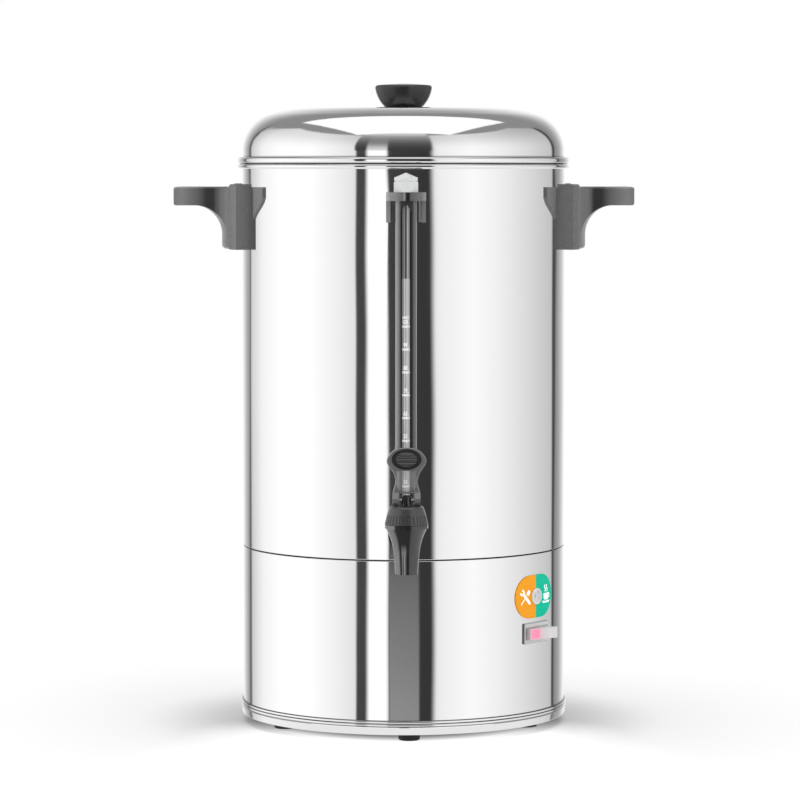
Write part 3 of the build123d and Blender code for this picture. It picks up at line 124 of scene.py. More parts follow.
def times(tree, first, *others):
    """Multiplies two or more values."""
    for other in others:
        first = calc(tree, "MULTIPLY", first, other)
    return first


def object_place(tree):
    """The three coordinates of a point of the surface."""
    where = add_node(tree, "ShaderNodeTexCoord").outputs["Object"]
    return add_node(tree, "ShaderNodeSeparateXYZ", {0: where}).outputs


print("a node takes a socket or a number")

# %% Steps, tones and blends
def step(tree, value, start, end, low=0.0, high=1.0):
    """Goes smoothly from low to high while value goes from start to end."""
    node = add_node(
        tree,
        "ShaderNodeMapRange",
        {0: value, 1: start, 2: end, 3: low, 4: high},
        interpolation_type="SMOOTHSTEP",
    )
    return node.outputs[0]


def between(tree, value, rise, fall):
    """1 between two soft edges, each given by where it starts and where it ends."""
    return times(tree, step(tree, value, *rise), step(tree, value, *fall, 1.0, 0.0))


def grey(tone):
    """A neutral colour."""
    return (tone, tone, tone, 1)


def mix(tree, factor, first, second):
    """Blends two colours."""
    node = add_node(tree, "ShaderNodeMix", data_type="RGBA")
    connect(tree, node.inputs["Factor"], factor)
    connect(tree, node.inputs["A"], first)
    connect(tree, node.inputs["B"], second)
    return node.outputs["Result"]


def ramp(tree, value, stops, low, high):
    """A tone that changes along a value: stops are (value, tone)."""
    along = add_node(tree, "ShaderNodeMapRange", {0: value, 1: low, 2: high}).outputs[0]
    node = add_node(tree, "ShaderNodeValToRGB", {0: along})
    elements = node.color_ramp.elements
    while len(elements) < len(stops):
        elements.new(0.5)
    for element, (place, tone) in zip(elements, stops):
        element.position = (place - low) / (high - low)
        element.color = grey(tone)
    return node.outputs[0]


print("half grey is", grey(0.5))

# %% [markdown]
# ## The studio
#
# Polished steel has no look of its own: it shows the room. A product studio is a white room with
# two tall light panels at the sides, a square light overhead, a grey ceiling between them, and a
# dark slot in front where the camera stands. The room is painted on the world by direction, as
# bearing round the urn and height above the horizon. Lamps and cards in the scene could do the
# same, but the world lights the urn from everywhere with far less noise.

# %% Bearing and height of a direction, in degrees
world = bpy.data.worlds.new("studio")
scene.world = world
world.use_nodes = True
room = world.node_tree
room.nodes.clear()
direction = add_node(room, "ShaderNodeTexCoord").outputs["Generated"]
right, back, above = add_node(room, "ShaderNodeSeparateXYZ", {0: direction}).outputs
bearing = times(room, calc(room, "ARCTAN2", right, times(room, back, -1.0)), degrees(1))
height = times(room, calc(room, "ARCSINE", above), degrees(1))
print("studio tree started:", world.name)

# %% [markdown]
# The first tone runs round the room at eye level. Bearing 0 is where the camera stands, and
# positive bearings are to its right. Each stretch of the round has its own list of bearings and
# tones, and the soft edges that later steps need again have names.

# %% The room at eye level
STRIP_LEFT = (-28.0, -25.4)  # soft edges of the bright strip left of the lens
STRIP_RIGHT = (-13.0, -11.4)
SLOT_RIGHT = (18.9, 22.2)    # right edge of the dark slot
BACK_LEFT = [(-180, 1.0), (-166, 0.9), (-156, 0.6), (-147, 0.34), (-145, 0.15), (-142, 0.15)]
LEFT_PANEL = [(-140, 0.62), (-121, 0.96), (-100, 1.08), (-70, 1.08), (-50, 0.95), (-35, 0.82)]
FRONT = [
    (-34, 0.06), (STRIP_LEFT[0], 0.06), (STRIP_LEFT[1], 1.1), (STRIP_RIGHT[0], 1.1),
    (STRIP_RIGHT[1], 0.05), (SLOT_RIGHT[0], 0.035),
]
RIGHT_PANEL = [
    (SLOT_RIGHT[1], 0.84), (26, 0.92), (50, 1.03), (72, 0.92), (90, 0.8), (113, 0.66), (130.5, 0.57),
]
BACK_RIGHT = [(132.5, 0.05), (134.5, 0.05), (137, 0.25), (147, 0.4), (157, 0.72), (168, 1.0)]
EYE_LEVEL = BACK_LEFT + LEFT_PANEL + FRONT + RIGHT_PANEL + BACK_RIGHT

LEAN = 1.2                   # degrees by which the slot's right edge leans in above the horizon
LEAN_HEIGHTS = (-2.6, 0.5)
LEAN_LEFT = (8.0, 12.0)
LEAN_RIGHT = (40.0, 60.0)
leans = between(room, bearing, LEAN_LEFT, LEAN_RIGHT)
lean = times(room, step(room, height, *LEAN_HEIGHTS, 0.0, LEAN), leans)
bearing = calc(room, "ADD", bearing, lean)
walls = ramp(room, bearing, EYE_LEVEL, -180, 180)
print("stops round the room:", len(EYE_LEVEL))

# %% [markdown]
# The table throws a weak glow into the slot below the horizon, and every wall gets a little
# darker towards the ceiling.

# %% Glow from the table, and fading upwards
GLOW_LEFT = (-11.4, -10.6)   # bearings
GLOW_RIGHT = (9.0, 10.5)
GLOW_TOP = (-6.55, -6.35)    # heights
LOW_GLOW = 0.24
HIGH_GLOW = 0.10
TOP_OF_WALLS = 0.72          # their tone up there, as a part of their tone at eye level
floor_line = step(room, height, *GLOW_TOP, 1.0, 0.0)
glow_tone = step(room, height, -9.2, -6.5, LOW_GLOW, HIGH_GLOW)
glow = times(room, between(room, bearing, GLOW_LEFT, GLOW_RIGHT), floor_line, glow_tone)
fading = step(room, height, 4.0, 42.0, 1.0, TOP_OF_WALLS)
walls = times(room, calc(room, "ADD", walls, glow), fading)
print("glow and fading set")

# %% [markdown]
# The panels end at about 44 degrees, lower towards the back. Above them is the grey ceiling.

# %% Ceiling
PANEL_TOP = [
    (-180, 0.0), (-150, 5.0), (-136, 26.0), (-110, 42.0), (-36, 40.0), (22, 42.5), (110, 43.0),
    (136, 26.0), (150, 5.0), (180, 0.0),
]
PANEL_END = [
    (-180, 45.0), (-150, 40.0), (-136, 32.0), (-110, 46.0), (110, 46.0), (136, 32.0), (150, 40.0),
    (180, 45.0),
]
CEILING = 0.27
panel_top = ramp(room, bearing, PANEL_TOP, -180, 180)
panel_end = ramp(room, bearing, PANEL_END, -180, 180)
tone = mix(room, step(room, height, panel_top, panel_end), walls, grey(CEILING))
print("ceiling tone:", CEILING)

# %% [markdown]
# In front, the slot and the bright strip in it have tones of their own above the horizon: the
# strip dims fast and the slot brightens slowly, until both meet the ceiling as one grey patch.

# %% Slot and strip above the horizon
SLOT_UP = [
    (2, 0.045), (8, 0.048), (20, 0.095), (28, 0.155), (34, 0.225), (41, 0.34), (47, 0.58), (50, 0.66),
]
STRIP_UP = [
    (2, 1.08), (8, 0.66), (14, 0.40), (20, 0.27), (28, 0.22), (34, 0.26), (41, 0.36), (47, 0.58),
    (50, 0.66),
]
slot_up = ramp(room, height, SLOT_UP, 0, 90)
strip_up = ramp(room, height, STRIP_UP, 0, 90)
front_tone = mix(room, between(room, bearing, STRIP_LEFT, STRIP_RIGHT), slot_up, strip_up)
in_front = between(room, bearing, (-36.0, -34.5), SLOT_RIGHT)
tone = mix(room, times(room, in_front, step(room, height, 1.5, 2.5)), tone, front_tone)
print("front stops:", len(SLOT_UP), "and", len(STRIP_UP))

# %% [markdown]
# The overhead light is a square. A direction divided by its own height is the place where it
# meets the ceiling, so the square is two plain limits on that place.

# %% Overhead light, and the tone under the table's edge
LIGHT_TONE = 1.08
LIGHT_OFFSET = 0.08          # the square hangs a little in front of the urn
LIGHT_SIDES = (0.64, 0.70)   # soft edges, for a ceiling one metre up
LIGHT_ENDS = (0.66, 0.74)
BELOW = 0.85
up = calc(room, "MAXIMUM", above, 0.02)
across = calc(room, "ABSOLUTE", calc(room, "DIVIDE", right, up))
ahead = calc(room, "ABSOLUTE", calc(room, "ADD", calc(room, "DIVIDE", back, up), LIGHT_OFFSET))
light_square = times(
    room, step(room, across, *LIGHT_SIDES, 1.0, 0.0), step(room, ahead, *LIGHT_ENDS, 1.0, 0.0)
)
tone = mix(room, light_square, tone, grey(LIGHT_TONE))
tone = mix(room, step(room, height, -25.0, -12.0, 1.0, 0.0), tone, grey(BELOW))
print("overhead light:", LIGHT_TONE)

# %% [markdown]
# The lens itself sees plain white behind the urn, while metal, glass and matt surfaces see the
# room. Matt surfaces get it a little stronger, so that a colour renders as it is written.

# %% Finish the studio
MATT_GAIN = 0.35
sees = add_node(room, "ShaderNodeLightPath")
gain = calc(room, "ADD", times(room, sees.outputs["Is Diffuse Ray"], MATT_GAIN), 1.0)
seen = mix(room, sees.outputs["Is Camera Ray"], tone, grey(1))
background = add_node(room, "ShaderNodeBackground", {"Color": seen, "Strength": gain})
add_node(room, "ShaderNodeOutputWorld", {"Surface": background.outputs[0]})
print("studio nodes:", len(room.nodes))

# %% [markdown]
# ## Floor
#
# A white table that keeps the urn's soft shadow. A shadow catcher would need a second picture
# behind it, so the table is a plain white sheet. Polished metal looks past it at the room, so
# that the reflections run down to the foot without a break.

# %% Table sheet
def new_mesh(name, verts, faces):
    """Makes a mesh object from points and faces."""
    data = bpy.data.meshes.new(name)
    data.from_pydata(verts, [], faces)
    data.update()
    made = bpy.data.objects.new(name, data)
    scene.collection.objects.link(made)
    return made


FLOOR_HALF = 3.0
floor_corners = [(x * FLOOR_HALF, y * FLOOR_HALF, 0) for x, y in ((-1, -1), (1, -1), (1, 1), (-1, 1))]
floor = new_mesh("studio_floor", floor_corners, [(0, 1, 2, 3)])
print("table half width:", FLOOR_HALF)

# %% [markdown]
# In a bright studio the shadow fades faster in front of the urn than beside it. A weak glow of
# the sheet, by distance and direction from the axis, stands in for the light that makes it fade.
# Only the lens sees the glow, so it doesn't light the urn.

# %% Table paint
FLOOR_WHITE = 0.93
FRONT_GLOW = [
    (0.080, 0.0), (0.094, 0.12), (0.105, 0.42), (0.118, 0.9), (0.135, 0.85), (0.150, 0.66), (0.20, 0.42),
    (0.30, 0.30), (0.60, 0.2),
]
GLOW_REACH = 0.8             # metres from the axis
SIDE_FROM = 0.135
SIDE_TO = 0.23
SIDE_GLOW = 0.22
paint = bpy.data.materials.new("floor_white")
paint.use_nodes = True
tree = paint.node_tree
tree.nodes.clear()
matt = add_node(tree, "ShaderNodeBsdfDiffuse", {"Color": grey(FLOOR_WHITE)})
where = add_node(tree, "ShaderNodeTexCoord").outputs["Object"]
behind = add_node(tree, "ShaderNodeSeparateXYZ", {0: where}).outputs[1]
away = add_node(tree, "ShaderNodeVectorMath", {0: where}, operation="LENGTH").outputs["Value"]
straight_ahead = step(tree, calc(tree, "DIVIDE", times(tree, behind, -1.0), away), 0.0, 0.97)
in_front = times(tree, ramp(tree, away, FRONT_GLOW, 0, GLOW_REACH), straight_ahead)
beside = step(tree, away, SIDE_FROM, SIDE_TO, 0.0, SIDE_GLOW)
path = add_node(tree, "ShaderNodeLightPath")
strength = times(tree, path.outputs["Is Camera Ray"], calc(tree, "MAXIMUM", in_front, beside))
lift = add_node(tree, "ShaderNodeEmission", {"Strength": strength})
both = add_node(tree, "ShaderNodeAddShader", {0: matt.outputs[0], 1: lift.outputs[0]})
add_node(tree, "ShaderNodeOutputMaterial", {"Surface": both.outputs[0]})
floor.data.materials.append(paint)
floor.visible_glossy = False
print("floor set")

# %% [markdown]
# ## Shared surface effects
#
# Two effects are used by many finishes, so each is a node group. Drawn sheet steel is never quite
# flat and carries fine polishing lines. Moulded plastic has a fine orange-peel skin, and handling
# leaves small differences of gloss on it. An image could hold both, but it would need the parts
# unwrapped, while noise by place works on any shape.

# %% Start a group
def new_group(name, inputs, outputs):
    """Makes an empty shader group with float inputs and outputs."""
    group = bpy.data.node_groups.new(name, "ShaderNodeTree")
    for label, value in inputs.items():
        socket = group.interface.new_socket(label, in_out="INPUT", socket_type="NodeSocketFloat")
        socket.default_value = value
    for label in outputs:
        group.interface.new_socket(label, in_out="OUTPUT", socket_type="NodeSocketFloat")
    start = group.nodes.new("NodeGroupInput")
    end = group.nodes.new("NodeGroupOutput")
    print("group:", name, "puts out", ", ".join(outputs))
    return group, start.outputs, end.inputs


def noise(tree, where, scale, detail, roughness=0.5):
    """A noise value round 0.5 at a place."""
    node = add_node(
        tree,
        "ShaderNodeTexNoise",
        {"Vector": where, "Scale": scale, "Detail": detail, "Roughness": roughness},
    )
    return node.outputs["Fac"]


def squeezed(tree, up=1.0):
    """The place on the piece, with its height squeezed, so that noise on it runs up and down."""
    where = add_node(tree, "ShaderNodeTexCoord").outputs["Object"]
    node = add_node(tree, "ShaderNodeVectorMath", {0: where, 1: (1, 1, up)}, operation="MULTIPLY")
    return node.outputs[0]


print("noise and place helpers ready")

# %% Polished sheet
SLOW_WAVES = 8.0             # how close the dents and lines stand, per metre
FAST_WAVES = 30.0
POLISH_LINES = 900.0
POLISH_PATCHES = 14.0
FAST_SHARE = 0.04
LEAST_ROUGHNESS = 0.02
sheet_polish, given, put = new_group(
    "polished_sheet", {"Waves": 1.0, "Gloss": 0.05, "Lines": 0.03}, ["Height", "Roughness"]
)
slow = noise(sheet_polish, squeezed(sheet_polish, up=0.6), SLOW_WAVES, detail=1.0)
fast = noise(sheet_polish, squeezed(sheet_polish, up=0.25), FAST_WAVES, detail=1.0)
waves = calc(sheet_polish, "ADD", slow, times(sheet_polish, fast, FAST_SHARE))
connect(sheet_polish, put["Height"], times(sheet_polish, waves, given["Waves"]))
lines = noise(sheet_polish, squeezed(sheet_polish, up=0.02), POLISH_LINES, detail=3.0)
lines = times(sheet_polish, calc(sheet_polish, "SUBTRACT", lines, 0.5), given["Lines"])
patches = noise(sheet_polish, squeezed(sheet_polish), POLISH_PATCHES, detail=4.0)
patches = times(sheet_polish, patches, given["Lines"])
gloss = calc(sheet_polish, "ADD", given["Gloss"], calc(sheet_polish, "ADD", lines, patches))
connect(sheet_polish, put["Roughness"], calc(sheet_polish, "MAXIMUM", gloss, LEAST_ROUGHNESS))
print("nodes in it:", len(sheet_polish.nodes))

# %% Moulded skin
HANDLING = 60.0              # how close the rubbed patches stand, per metre
moulded_skin, given, put = new_group(
    "moulded_skin", {"Grain": 1.0, "Size": 900.0, "Gloss": 0.3, "Wear": 0.08}, ["Height", "Roughness"]
)
peel = noise(moulded_skin, squeezed(moulded_skin), given["Size"], detail=3.0, roughness=0.6)
connect(moulded_skin, put["Height"], times(moulded_skin, peel, given["Grain"]))
rubbed = noise(moulded_skin, squeezed(moulded_skin), HANDLING, detail=4.0)
rubbed = times(moulded_skin, calc(moulded_skin, "SUBTRACT", rubbed, 0.5), given["Wear"])
connect(moulded_skin, put["Roughness"], calc(moulded_skin, "ADD", given["Gloss"], rubbed))
print("nodes in it:", len(moulded_skin.nodes))

# %% [markdown]
# ## Finishes
#
# Each finish is one material with its Principled shader set plainly. In most of them one of the
# two groups feeds the roughness and a bump.

# %% Start a finish
def new_finish(name, colour, **sockets):
    """Makes a material, and sets its shader's sockets to plain values."""
    finish = bpy.data.materials.new(name)
    finish.use_nodes = True
    tree = finish.node_tree
    shader = tree.nodes["Principled BSDF"]
    shader.inputs["Base Color"].default_value = (*colour, 1)
    for label, value in sockets.items():
        shader.inputs[label.replace("_", " ")].default_value = value
    return finish, tree, shader


def surface(tree, shader, group, depth, **values):
    """Feeds a shader's roughness and normal from one of the groups."""
    effect = add_node(tree, "ShaderNodeGroup", values, node_tree=group).outputs
    bump = add_node(tree, "ShaderNodeBump", {"Distance": depth, "Strength": 1.0, "Height": effect["Height"]})
    connect(tree, shader.inputs["Roughness"], effect["Roughness"])
    connect(tree, shader.inputs["Normal"], bump.outputs[0])


def cover(finish, *names):
    """Puts a finish on named parts."""
    for name in names:
        part = parts[name]
        part.data.materials.clear()
        part.data.materials.append(finish)
    print(finish.name, "->", ", ".join(names))


print("finish helpers ready")

# %% [markdown]
# ### Polished steel
#
# The vessel, its skirt, the pan and the lid are drawn from bright stainless sheet. It is nearly a
# mirror, so the material is mostly the studio. Matt things beside the vessel, such as the table,
# would get too much light back from such a mirror, so they see it darker than the lens does.

# %% Mirror steel
STEEL = (0.93, 0.93, 0.935)
STEEL_FROM_TABLE = 0.22


def mirror_steel(name, waves):
    """Polished sheet that keeps the table beside it in shadow."""
    finish, tree, shader = new_finish(name, STEEL, Metallic=1.0)
    surface(tree, shader, sheet_polish, 0.9 * MM, Waves=waves, Gloss=0.035, Lines=0.04)
    sees = add_node(tree, "ShaderNodeLightPath")
    tone = mix(tree, sees.outputs["Is Diffuse Ray"], (*STEEL, 1), grey(STEEL_FROM_TABLE))
    connect(tree, shader.inputs["Base Color"], tone)
    return finish, tree, shader, tone


steel, tree, shader, tone = mirror_steel("mirror_steel", 1.0)
cover(steel, "vessel")

# %% [markdown]
# ### Creases of the rolled edges
#
# Where a rolled edge meets the sheet under it, the gap is too thin to keep a shadow at this
# distance. A dark line drawn on the sheet at the gap's height keeps it. The lid and the pan both
# need such lines, so the line's mask is a node group.

# %% Crease group
crease_line, given, put = new_group("crease_line", {"Place": 0.0, "Half": 1.0 * MM}, ["Line"])
off = calc(crease_line, "SUBTRACT", object_place(crease_line)[2], given["Place"])
off = calc(crease_line, "ABSOLUTE", off)
full_to = times(crease_line, given["Half"], 0.5)
connect(crease_line, put["Line"], step(crease_line, off, full_to, given["Half"], 1.0, 0.0))


def crease(tree, tone, place, half, dark):
    """Darkens a line that runs round the sheet at one height."""
    line = add_node(tree, "ShaderNodeGroup", {"Place": place, "Half": half}, node_tree=crease_line)
    return mix(tree, line.outputs["Line"], tone, grey(dark))


print("nodes in it:", len(crease_line.nodes))

# %% Lid and pan
ROLLED_WAVES = 0.12          # a rolled edge is stiffer than the open sheet, so it waves less
LID_BEAD_TOP_Z = 468.5 * MM
PAN_CREASES = [(18.9 * MM, 0.12), (16.5 * MM, 0.20), (14.2 * MM, 0.5)]   # height and tone
PAN_CREASE_HALF = 0.55 * MM
lid_low, lid_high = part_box("lid_shell")

lid_steel, tree, shader, tone = mirror_steel("lid_steel", ROLLED_WAVES)
tone = crease(tree, tone, lid_low.z, 1.0 * MM, 0.22)
tone = crease(tree, tone, LID_BEAD_TOP_Z, 1.2 * MM, 0.45)
connect(tree, shader.inputs["Base Color"], tone)
cover(lid_steel, "lid_shell")

pan_steel, tree, shader, tone = mirror_steel("pan_steel", ROLLED_WAVES)
for crease_z, dark in PAN_CREASES:
    tone = crease(tree, tone, crease_z, PAN_CREASE_HALF, dark)
connect(tree, shader.inputs["Base Color"], tone)
cover(pan_steel, "base_pan")

# %% [markdown]
# ### Beads at the rim
#
# The lid and the vessel both end in a narrow rolled bead. A roll this small catches the whole
# room, so a coarse mesh shows every facet of it. More faces on the parts themselves would cure
# that, but the parts are left as they came. Instead each bead gets a thin skin, an outline of two
# arcs turned round the axis in one degree steps.

# %% Ring skins
SKIN_OUT = 0.10 * MM         # how far the skin stands off the roll, outside and inside
SKIN_IN = 0.03 * MM
ROLL_STEPS = 9
RING_STEPS = 360


def arc(middle, radius, start, end, steps=14):
    """Points on an arc, angles in degrees."""
    turns = [radians(start + (end - start) * k / steps) for k in range(steps + 1)]
    return [(middle[0] + radius * cos(a), middle[1] + radius * sin(a)) for a in turns]


def skin_faces(rows, points, joined):
    """Faces between rows of points; joined closes the last row to the first one."""
    return [
        (
            row * points + k,
            (row + 1) % rows * points + k,
            (row + 1) % rows * points + (k + 1) % points,
            row * points + (k + 1) % points,
        )
        for row in range(rows if joined else rows - 1)
        for k in range(points)
    ]


def bead_outline(reach, low_z, high_z, roll, off):
    """The outer half of a bead from its top to its foot; roll is the radius of its two edges."""
    upper = arc((reach - roll, high_z - roll), roll + off, 90, 0, ROLL_STEPS)
    return upper + arc((reach - roll, low_z + roll), roll + off, 0, -90, ROLL_STEPS)


def bead_skin(name, body, finish, low_z, high_z, roll):
    """A thin closed ring over a rolled bead."""
    outside = bead_outline(lid_high.x, low_z, high_z, roll, SKIN_OUT)
    inside = bead_outline(lid_high.x, low_z, high_z, roll, SKIN_IN)
    outline = outside + inside[::-1]
    count = len(outline)
    verts = [
        (r * cos(radians(turn)), r * sin(radians(turn)), z) for turn in range(RING_STEPS) for r, z in outline
    ]
    made = new_mesh(name, verts, skin_faces(RING_STEPS, count, joined=True))
    lips = (len(outside) - 1, count - 1)
    for number, face in enumerate(made.data.polygons):
        face.use_smooth = number % count not in lips
    made.data.materials.append(finish)
    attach(made, body)
    print(name, "faces:", len(made.data.polygons))


bead_skin("lid_bead", "lid", lid_steel, lid_low.z, lid_low.z + 5.2 * MM, 2.1 * MM)
bead_skin("rim_bead", "urn", steel, lid_low.z - 4.2 * MM, lid_low.z - 0.4 * MM, 1.7 * MM)

# %% [markdown]
# ### Skirt
#
# The skirt's upper edge is necked in under the vessel, which leaves a dark seam. The necked edge is modelled,
# and the seam's shade is also painted on it as a dark band, so that no light shows in the seam.

# %% Skirt steel
SEAM_LOW_Z = 147.0 * MM
SEAM_SHADE = 0.02
skirt_steel, tree, shader, tone = mirror_steel("skirt_steel", 1.0)
# Painted shade: the skirt turns dark above the seam's foot.
in_seam_shade = step(tree, object_place(tree)[2], SEAM_LOW_Z - 0.05 * MM, SEAM_LOW_Z + 0.1 * MM)
connect(tree, shader.inputs["Base Color"], mix(tree, in_seam_shade, tone, grey(SEAM_SHADE)))
cover(skirt_steel, "base_skirt")

# %% [markdown]
# ### Other metals
#
# Inside parts and screws are plain steel, brass and aluminium, and the reset button is satin
# chrome. They are duller than the sheet outside, so they differ in colour and gloss, and share
# the same two groups.

# %% Satin steel, screws, brass, aluminium and the button
inner_steel, tree, shader = new_finish("satin_steel", (0.74, 0.74, 0.75), Metallic=1.0)
surface(tree, shader, sheet_polish, 0.4 * MM, Waves=0.5, Gloss=0.24, Lines=0.2)
cover(
    inner_steel, "lid_ring", "element_clamp", "sensor_strap", "heating_element", "tie_rods", "tap_spring"
)

screw_steel, tree, shader = new_finish("screw_steel", (0.68, 0.68, 0.69), Metallic=1.0)
surface(tree, shader, moulded_skin, 0.02 * MM, Grain=0.6, Size=700.0, Gloss=0.3, Wear=0.2)
cover(screw_steel, "knob_screw", "knob_washer", "handle_screws", "handle_washers", "bracket_screws")
cover(screw_steel, "foot_screws", "inlet_screws", "tie_nuts", "clamp_nut", "lever_pin")

brass, tree, shader = new_finish("machined_brass", (0.75, 0.58, 0.30), Metallic=1.0)
surface(tree, shader, moulded_skin, 0.02 * MM, Grain=0.5, Size=800.0, Gloss=0.25, Wear=0.2)
cover(brass, "knob_insert", "tap_nut", "switch_terminals", "inlet_pins")

aluminium, tree, shader = new_finish("mill_aluminium", (0.80, 0.80, 0.81), Metallic=1.0)
surface(tree, shader, sheet_polish, 0.3 * MM, Waves=0.4, Gloss=0.3, Lines=0.25)
cover(aluminium, "heat_plate", "heat_shield", "thermostat", "thermal_cutout")

chrome, tree, shader = new_finish("button_chrome", (0.85, 0.86, 0.86), Metallic=1.0)
surface(tree, shader, moulded_skin, 0.01 * MM, Grain=0.1, Size=300.0, Gloss=0.45, Wear=0.05)
cover(chrome, "reset_button")

# %% [markdown]
# ### Knob and grips
#
# Both are moulded in black heat-proof plastic. The grips have a deep scoop behind their front edge. Its shade
# is painted as a dark band in the colour, by distance from the urn's middle, because the scoop itself is
# simpler in the part than on the real grip. The lighter tones towards the grips' outer ends are painted
# highlights.

# %% Bakelite and grips
bakelite, tree, shader = new_finish("black_bakelite", (0.035, 0.035, 0.036), IOR=1.55)
surface(tree, shader, moulded_skin, 0.06 * MM, Grain=0.8, Size=500.0, Gloss=0.22, Wear=0.1)
cover(bakelite, "lid_knob")

# Painted shade of the scoop and painted highlights towards the outer end, as tones in the colour.
GRIP_SHADE_AND_HIGHLIGHTS = [                # distance from the middle in metres, and tone
    (0.130, 0.15), (0.150, 0.12), (0.156, 0.03), (0.162, 0.03), (0.168, 0.13), (0.182, 0.27), (0.188, 0.24),
]
grip_black, tree, shader = new_finish("grip_black", (0.125, 0.125, 0.126), IOR=1.75)
surface(tree, shader, moulded_skin, 0.12 * MM, Grain=0.8, Size=600.0, Gloss=0.28, Wear=0.1)
beside = calc(tree, "ABSOLUTE", object_place(tree)[0])
connect(tree, shader.inputs["Base Color"], ramp(tree, beside, GRIP_SHADE_AND_HIGHLIGHTS, 0.1, 0.2))
cover(grip_black, "handle_left", "handle_right")

# %% [markdown]
# The two grips would show in the vessel beside them as wide dark patches. A studio hides such
# patches with small white cards, and here the grips are simply left out of what metal sees.

# %% Keep the grips out of the reflections
for name in ("handle_left", "handle_right", "handle_screws", "handle_washers"):
    parts[name].visible_glossy = False
print("grips hidden from reflections")

# %% [markdown]
# ### Tap
#
# The tap is glossy black, and a round black gloss is all reflection. The real room stands close
# to the tap, so its dark front fills the middle of each round and the light panels only the
# flanks. A world painted by direction can't come close, so the sheen depends on how far a face
# looks to the right, with one more streak low on the spout.

# %% Tap and bonnet
SHEEN = [(-1.0, 0.95), (-0.62, 0.9), (-0.50, 0.06), (0.14, 0.05), (0.26, 0.33), (0.8, 0.42), (1.0, 0.6)]
STREAK = [(-0.42, 0.0), (-0.34, 1.0), (-0.06, 1.0), (0.02, 0.0)]
STREAK_TOP_Z = 168.0 * MM
STREAK_FADE = 10 * MM
tap_black, tree, shader = new_finish("tap_black", (0.020, 0.020, 0.021), IOR=1.95)
surface(tree, shader, moulded_skin, 0.02 * MM, Grain=0.4, Size=400.0, Gloss=0.09, Wear=0.05)
normal = add_node(tree, "ShaderNodeNewGeometry").outputs["Normal"]
sideways = add_node(tree, "ShaderNodeSeparateXYZ", {0: normal}).outputs[0]
low_down = step(tree, object_place(tree)[2], STREAK_TOP_Z - STREAK_FADE, STREAK_TOP_Z, 1.0, 0.0)
streak = times(tree, ramp(tree, sideways, STREAK, -1, 1), low_down)
sheen = calc(tree, "MAXIMUM", ramp(tree, sideways, SHEEN, -1, 1), streak)
connect(tree, shader.inputs["Specular IOR Level"], sheen)
cover(tap_black, "tap_body", "tap_stem")

bonnet_black, tree, shader = new_finish("bonnet_black", (0.042, 0.042, 0.043), IOR=1.75)
surface(tree, shader, moulded_skin, 0.03 * MM, Grain=0.5, Size=400.0, Gloss=0.26, Wear=0.05)
cover(bonnet_black, "tap_bonnet")

# %% [markdown]
# ### Guard and bracket of the sight tube
#
# The guard and its bracket are moulded in a greyer black and catch more light than the tap. Their flanks and
# flats are too narrow to mirror much, so the reflections and shade they would show are painted into the
# colour instead, as tones from the left edge of the piece to the right one. These painted reflections are
# right for a look from the front.

# %% Guard and bracket
def tones_across(tree, stops, half):
    """A tone that changes from left to right; stops and half width are in millimetres."""
    return ramp(tree, object_place(tree)[0], [(x * MM, tone) for x, tone in stops], -half * MM, half * MM)


# Painted reflections and shade across the guard: millimetres from its middle, and tone.
GUARD_PAINTED_REFLECTIONS = [
    (-9, 0.34), (-6.5, 0.24), (-4.6, 0.15), (-4.2, 0.05), (4.6, 0.05), (5.6, 0.09), (7.6, 0.09),
    (8.2, 0.36), (9.5, 0.30),
]
guard_black, tree, shader = new_finish("guard_black", (0.10, 0.10, 0.101), IOR=1.8)
surface(tree, shader, moulded_skin, 0.02 * MM, Grain=0.4, Size=400.0, Gloss=0.14, Wear=0.05)
connect(tree, shader.inputs["Base Color"], tones_across(tree, GUARD_PAINTED_REFLECTIONS, 10))
cover(guard_black, "tube_guard")

# Painted reflections and shade across the bracket: millimetres from its middle, and tone.
BRACKET_PAINTED_REFLECTIONS = [
    (-16, 0.36), (-9, 0.30), (-3, 0.17), (-1.2, 0.34), (0, 0.02), (2.6, 0.02), (3.4, 0.14), (16, 0.26),
]
bracket_black, tree, shader = new_finish("bracket_black", (0.2, 0.2, 0.201), IOR=1.7)
surface(tree, shader, moulded_skin, 0.03 * MM, Grain=0.4, Size=400.0, Gloss=0.2, Wear=0.05)
connect(tree, shader.inputs["Base Color"], tones_across(tree, BRACKET_PAINTED_REFLECTIONS, 16))
cover(bracket_black, "tube_bracket")

# %% [markdown]
# ### Lever
#
# The lever's thumb pad is a dark oval with fine ribs across it. The oval's hollow and its coarse ribs are
# modelled. The rim round the oval is painted lighter, as a painted reflection of its tilted face, and the
# finer lines of light on the ribs are painted highlights, drawn as a wave by height, inside an oval measured
# from the pad's middle.

# %% Lever
PAD_Z = 232.1 * MM           # middle of the pad
PAD_HALF_W = 12.3 * MM
PAD_HALF_H = 8.6 * MM
RIB_STEP = 1.13 * MM
lever_black, tree, shader = new_finish("lever_black", (0.10, 0.10, 0.101), IOR=1.8)
surface(tree, shader, moulded_skin, 0.02 * MM, Grain=0.4, Size=400.0, Gloss=0.14, Wear=0.05)
place = object_place(tree)
above_pad = calc(tree, "SUBTRACT", place[2], PAD_Z)
off_x = calc(tree, "DIVIDE", place[0], PAD_HALF_W)
off_z = calc(tree, "DIVIDE", above_pad, PAD_HALF_H)
off = calc(tree, "ADD", times(tree, off_x, off_x), times(tree, off_z, off_z))
waves = calc(tree, "SINE", times(tree, above_pad, 2 * pi / RIB_STEP))
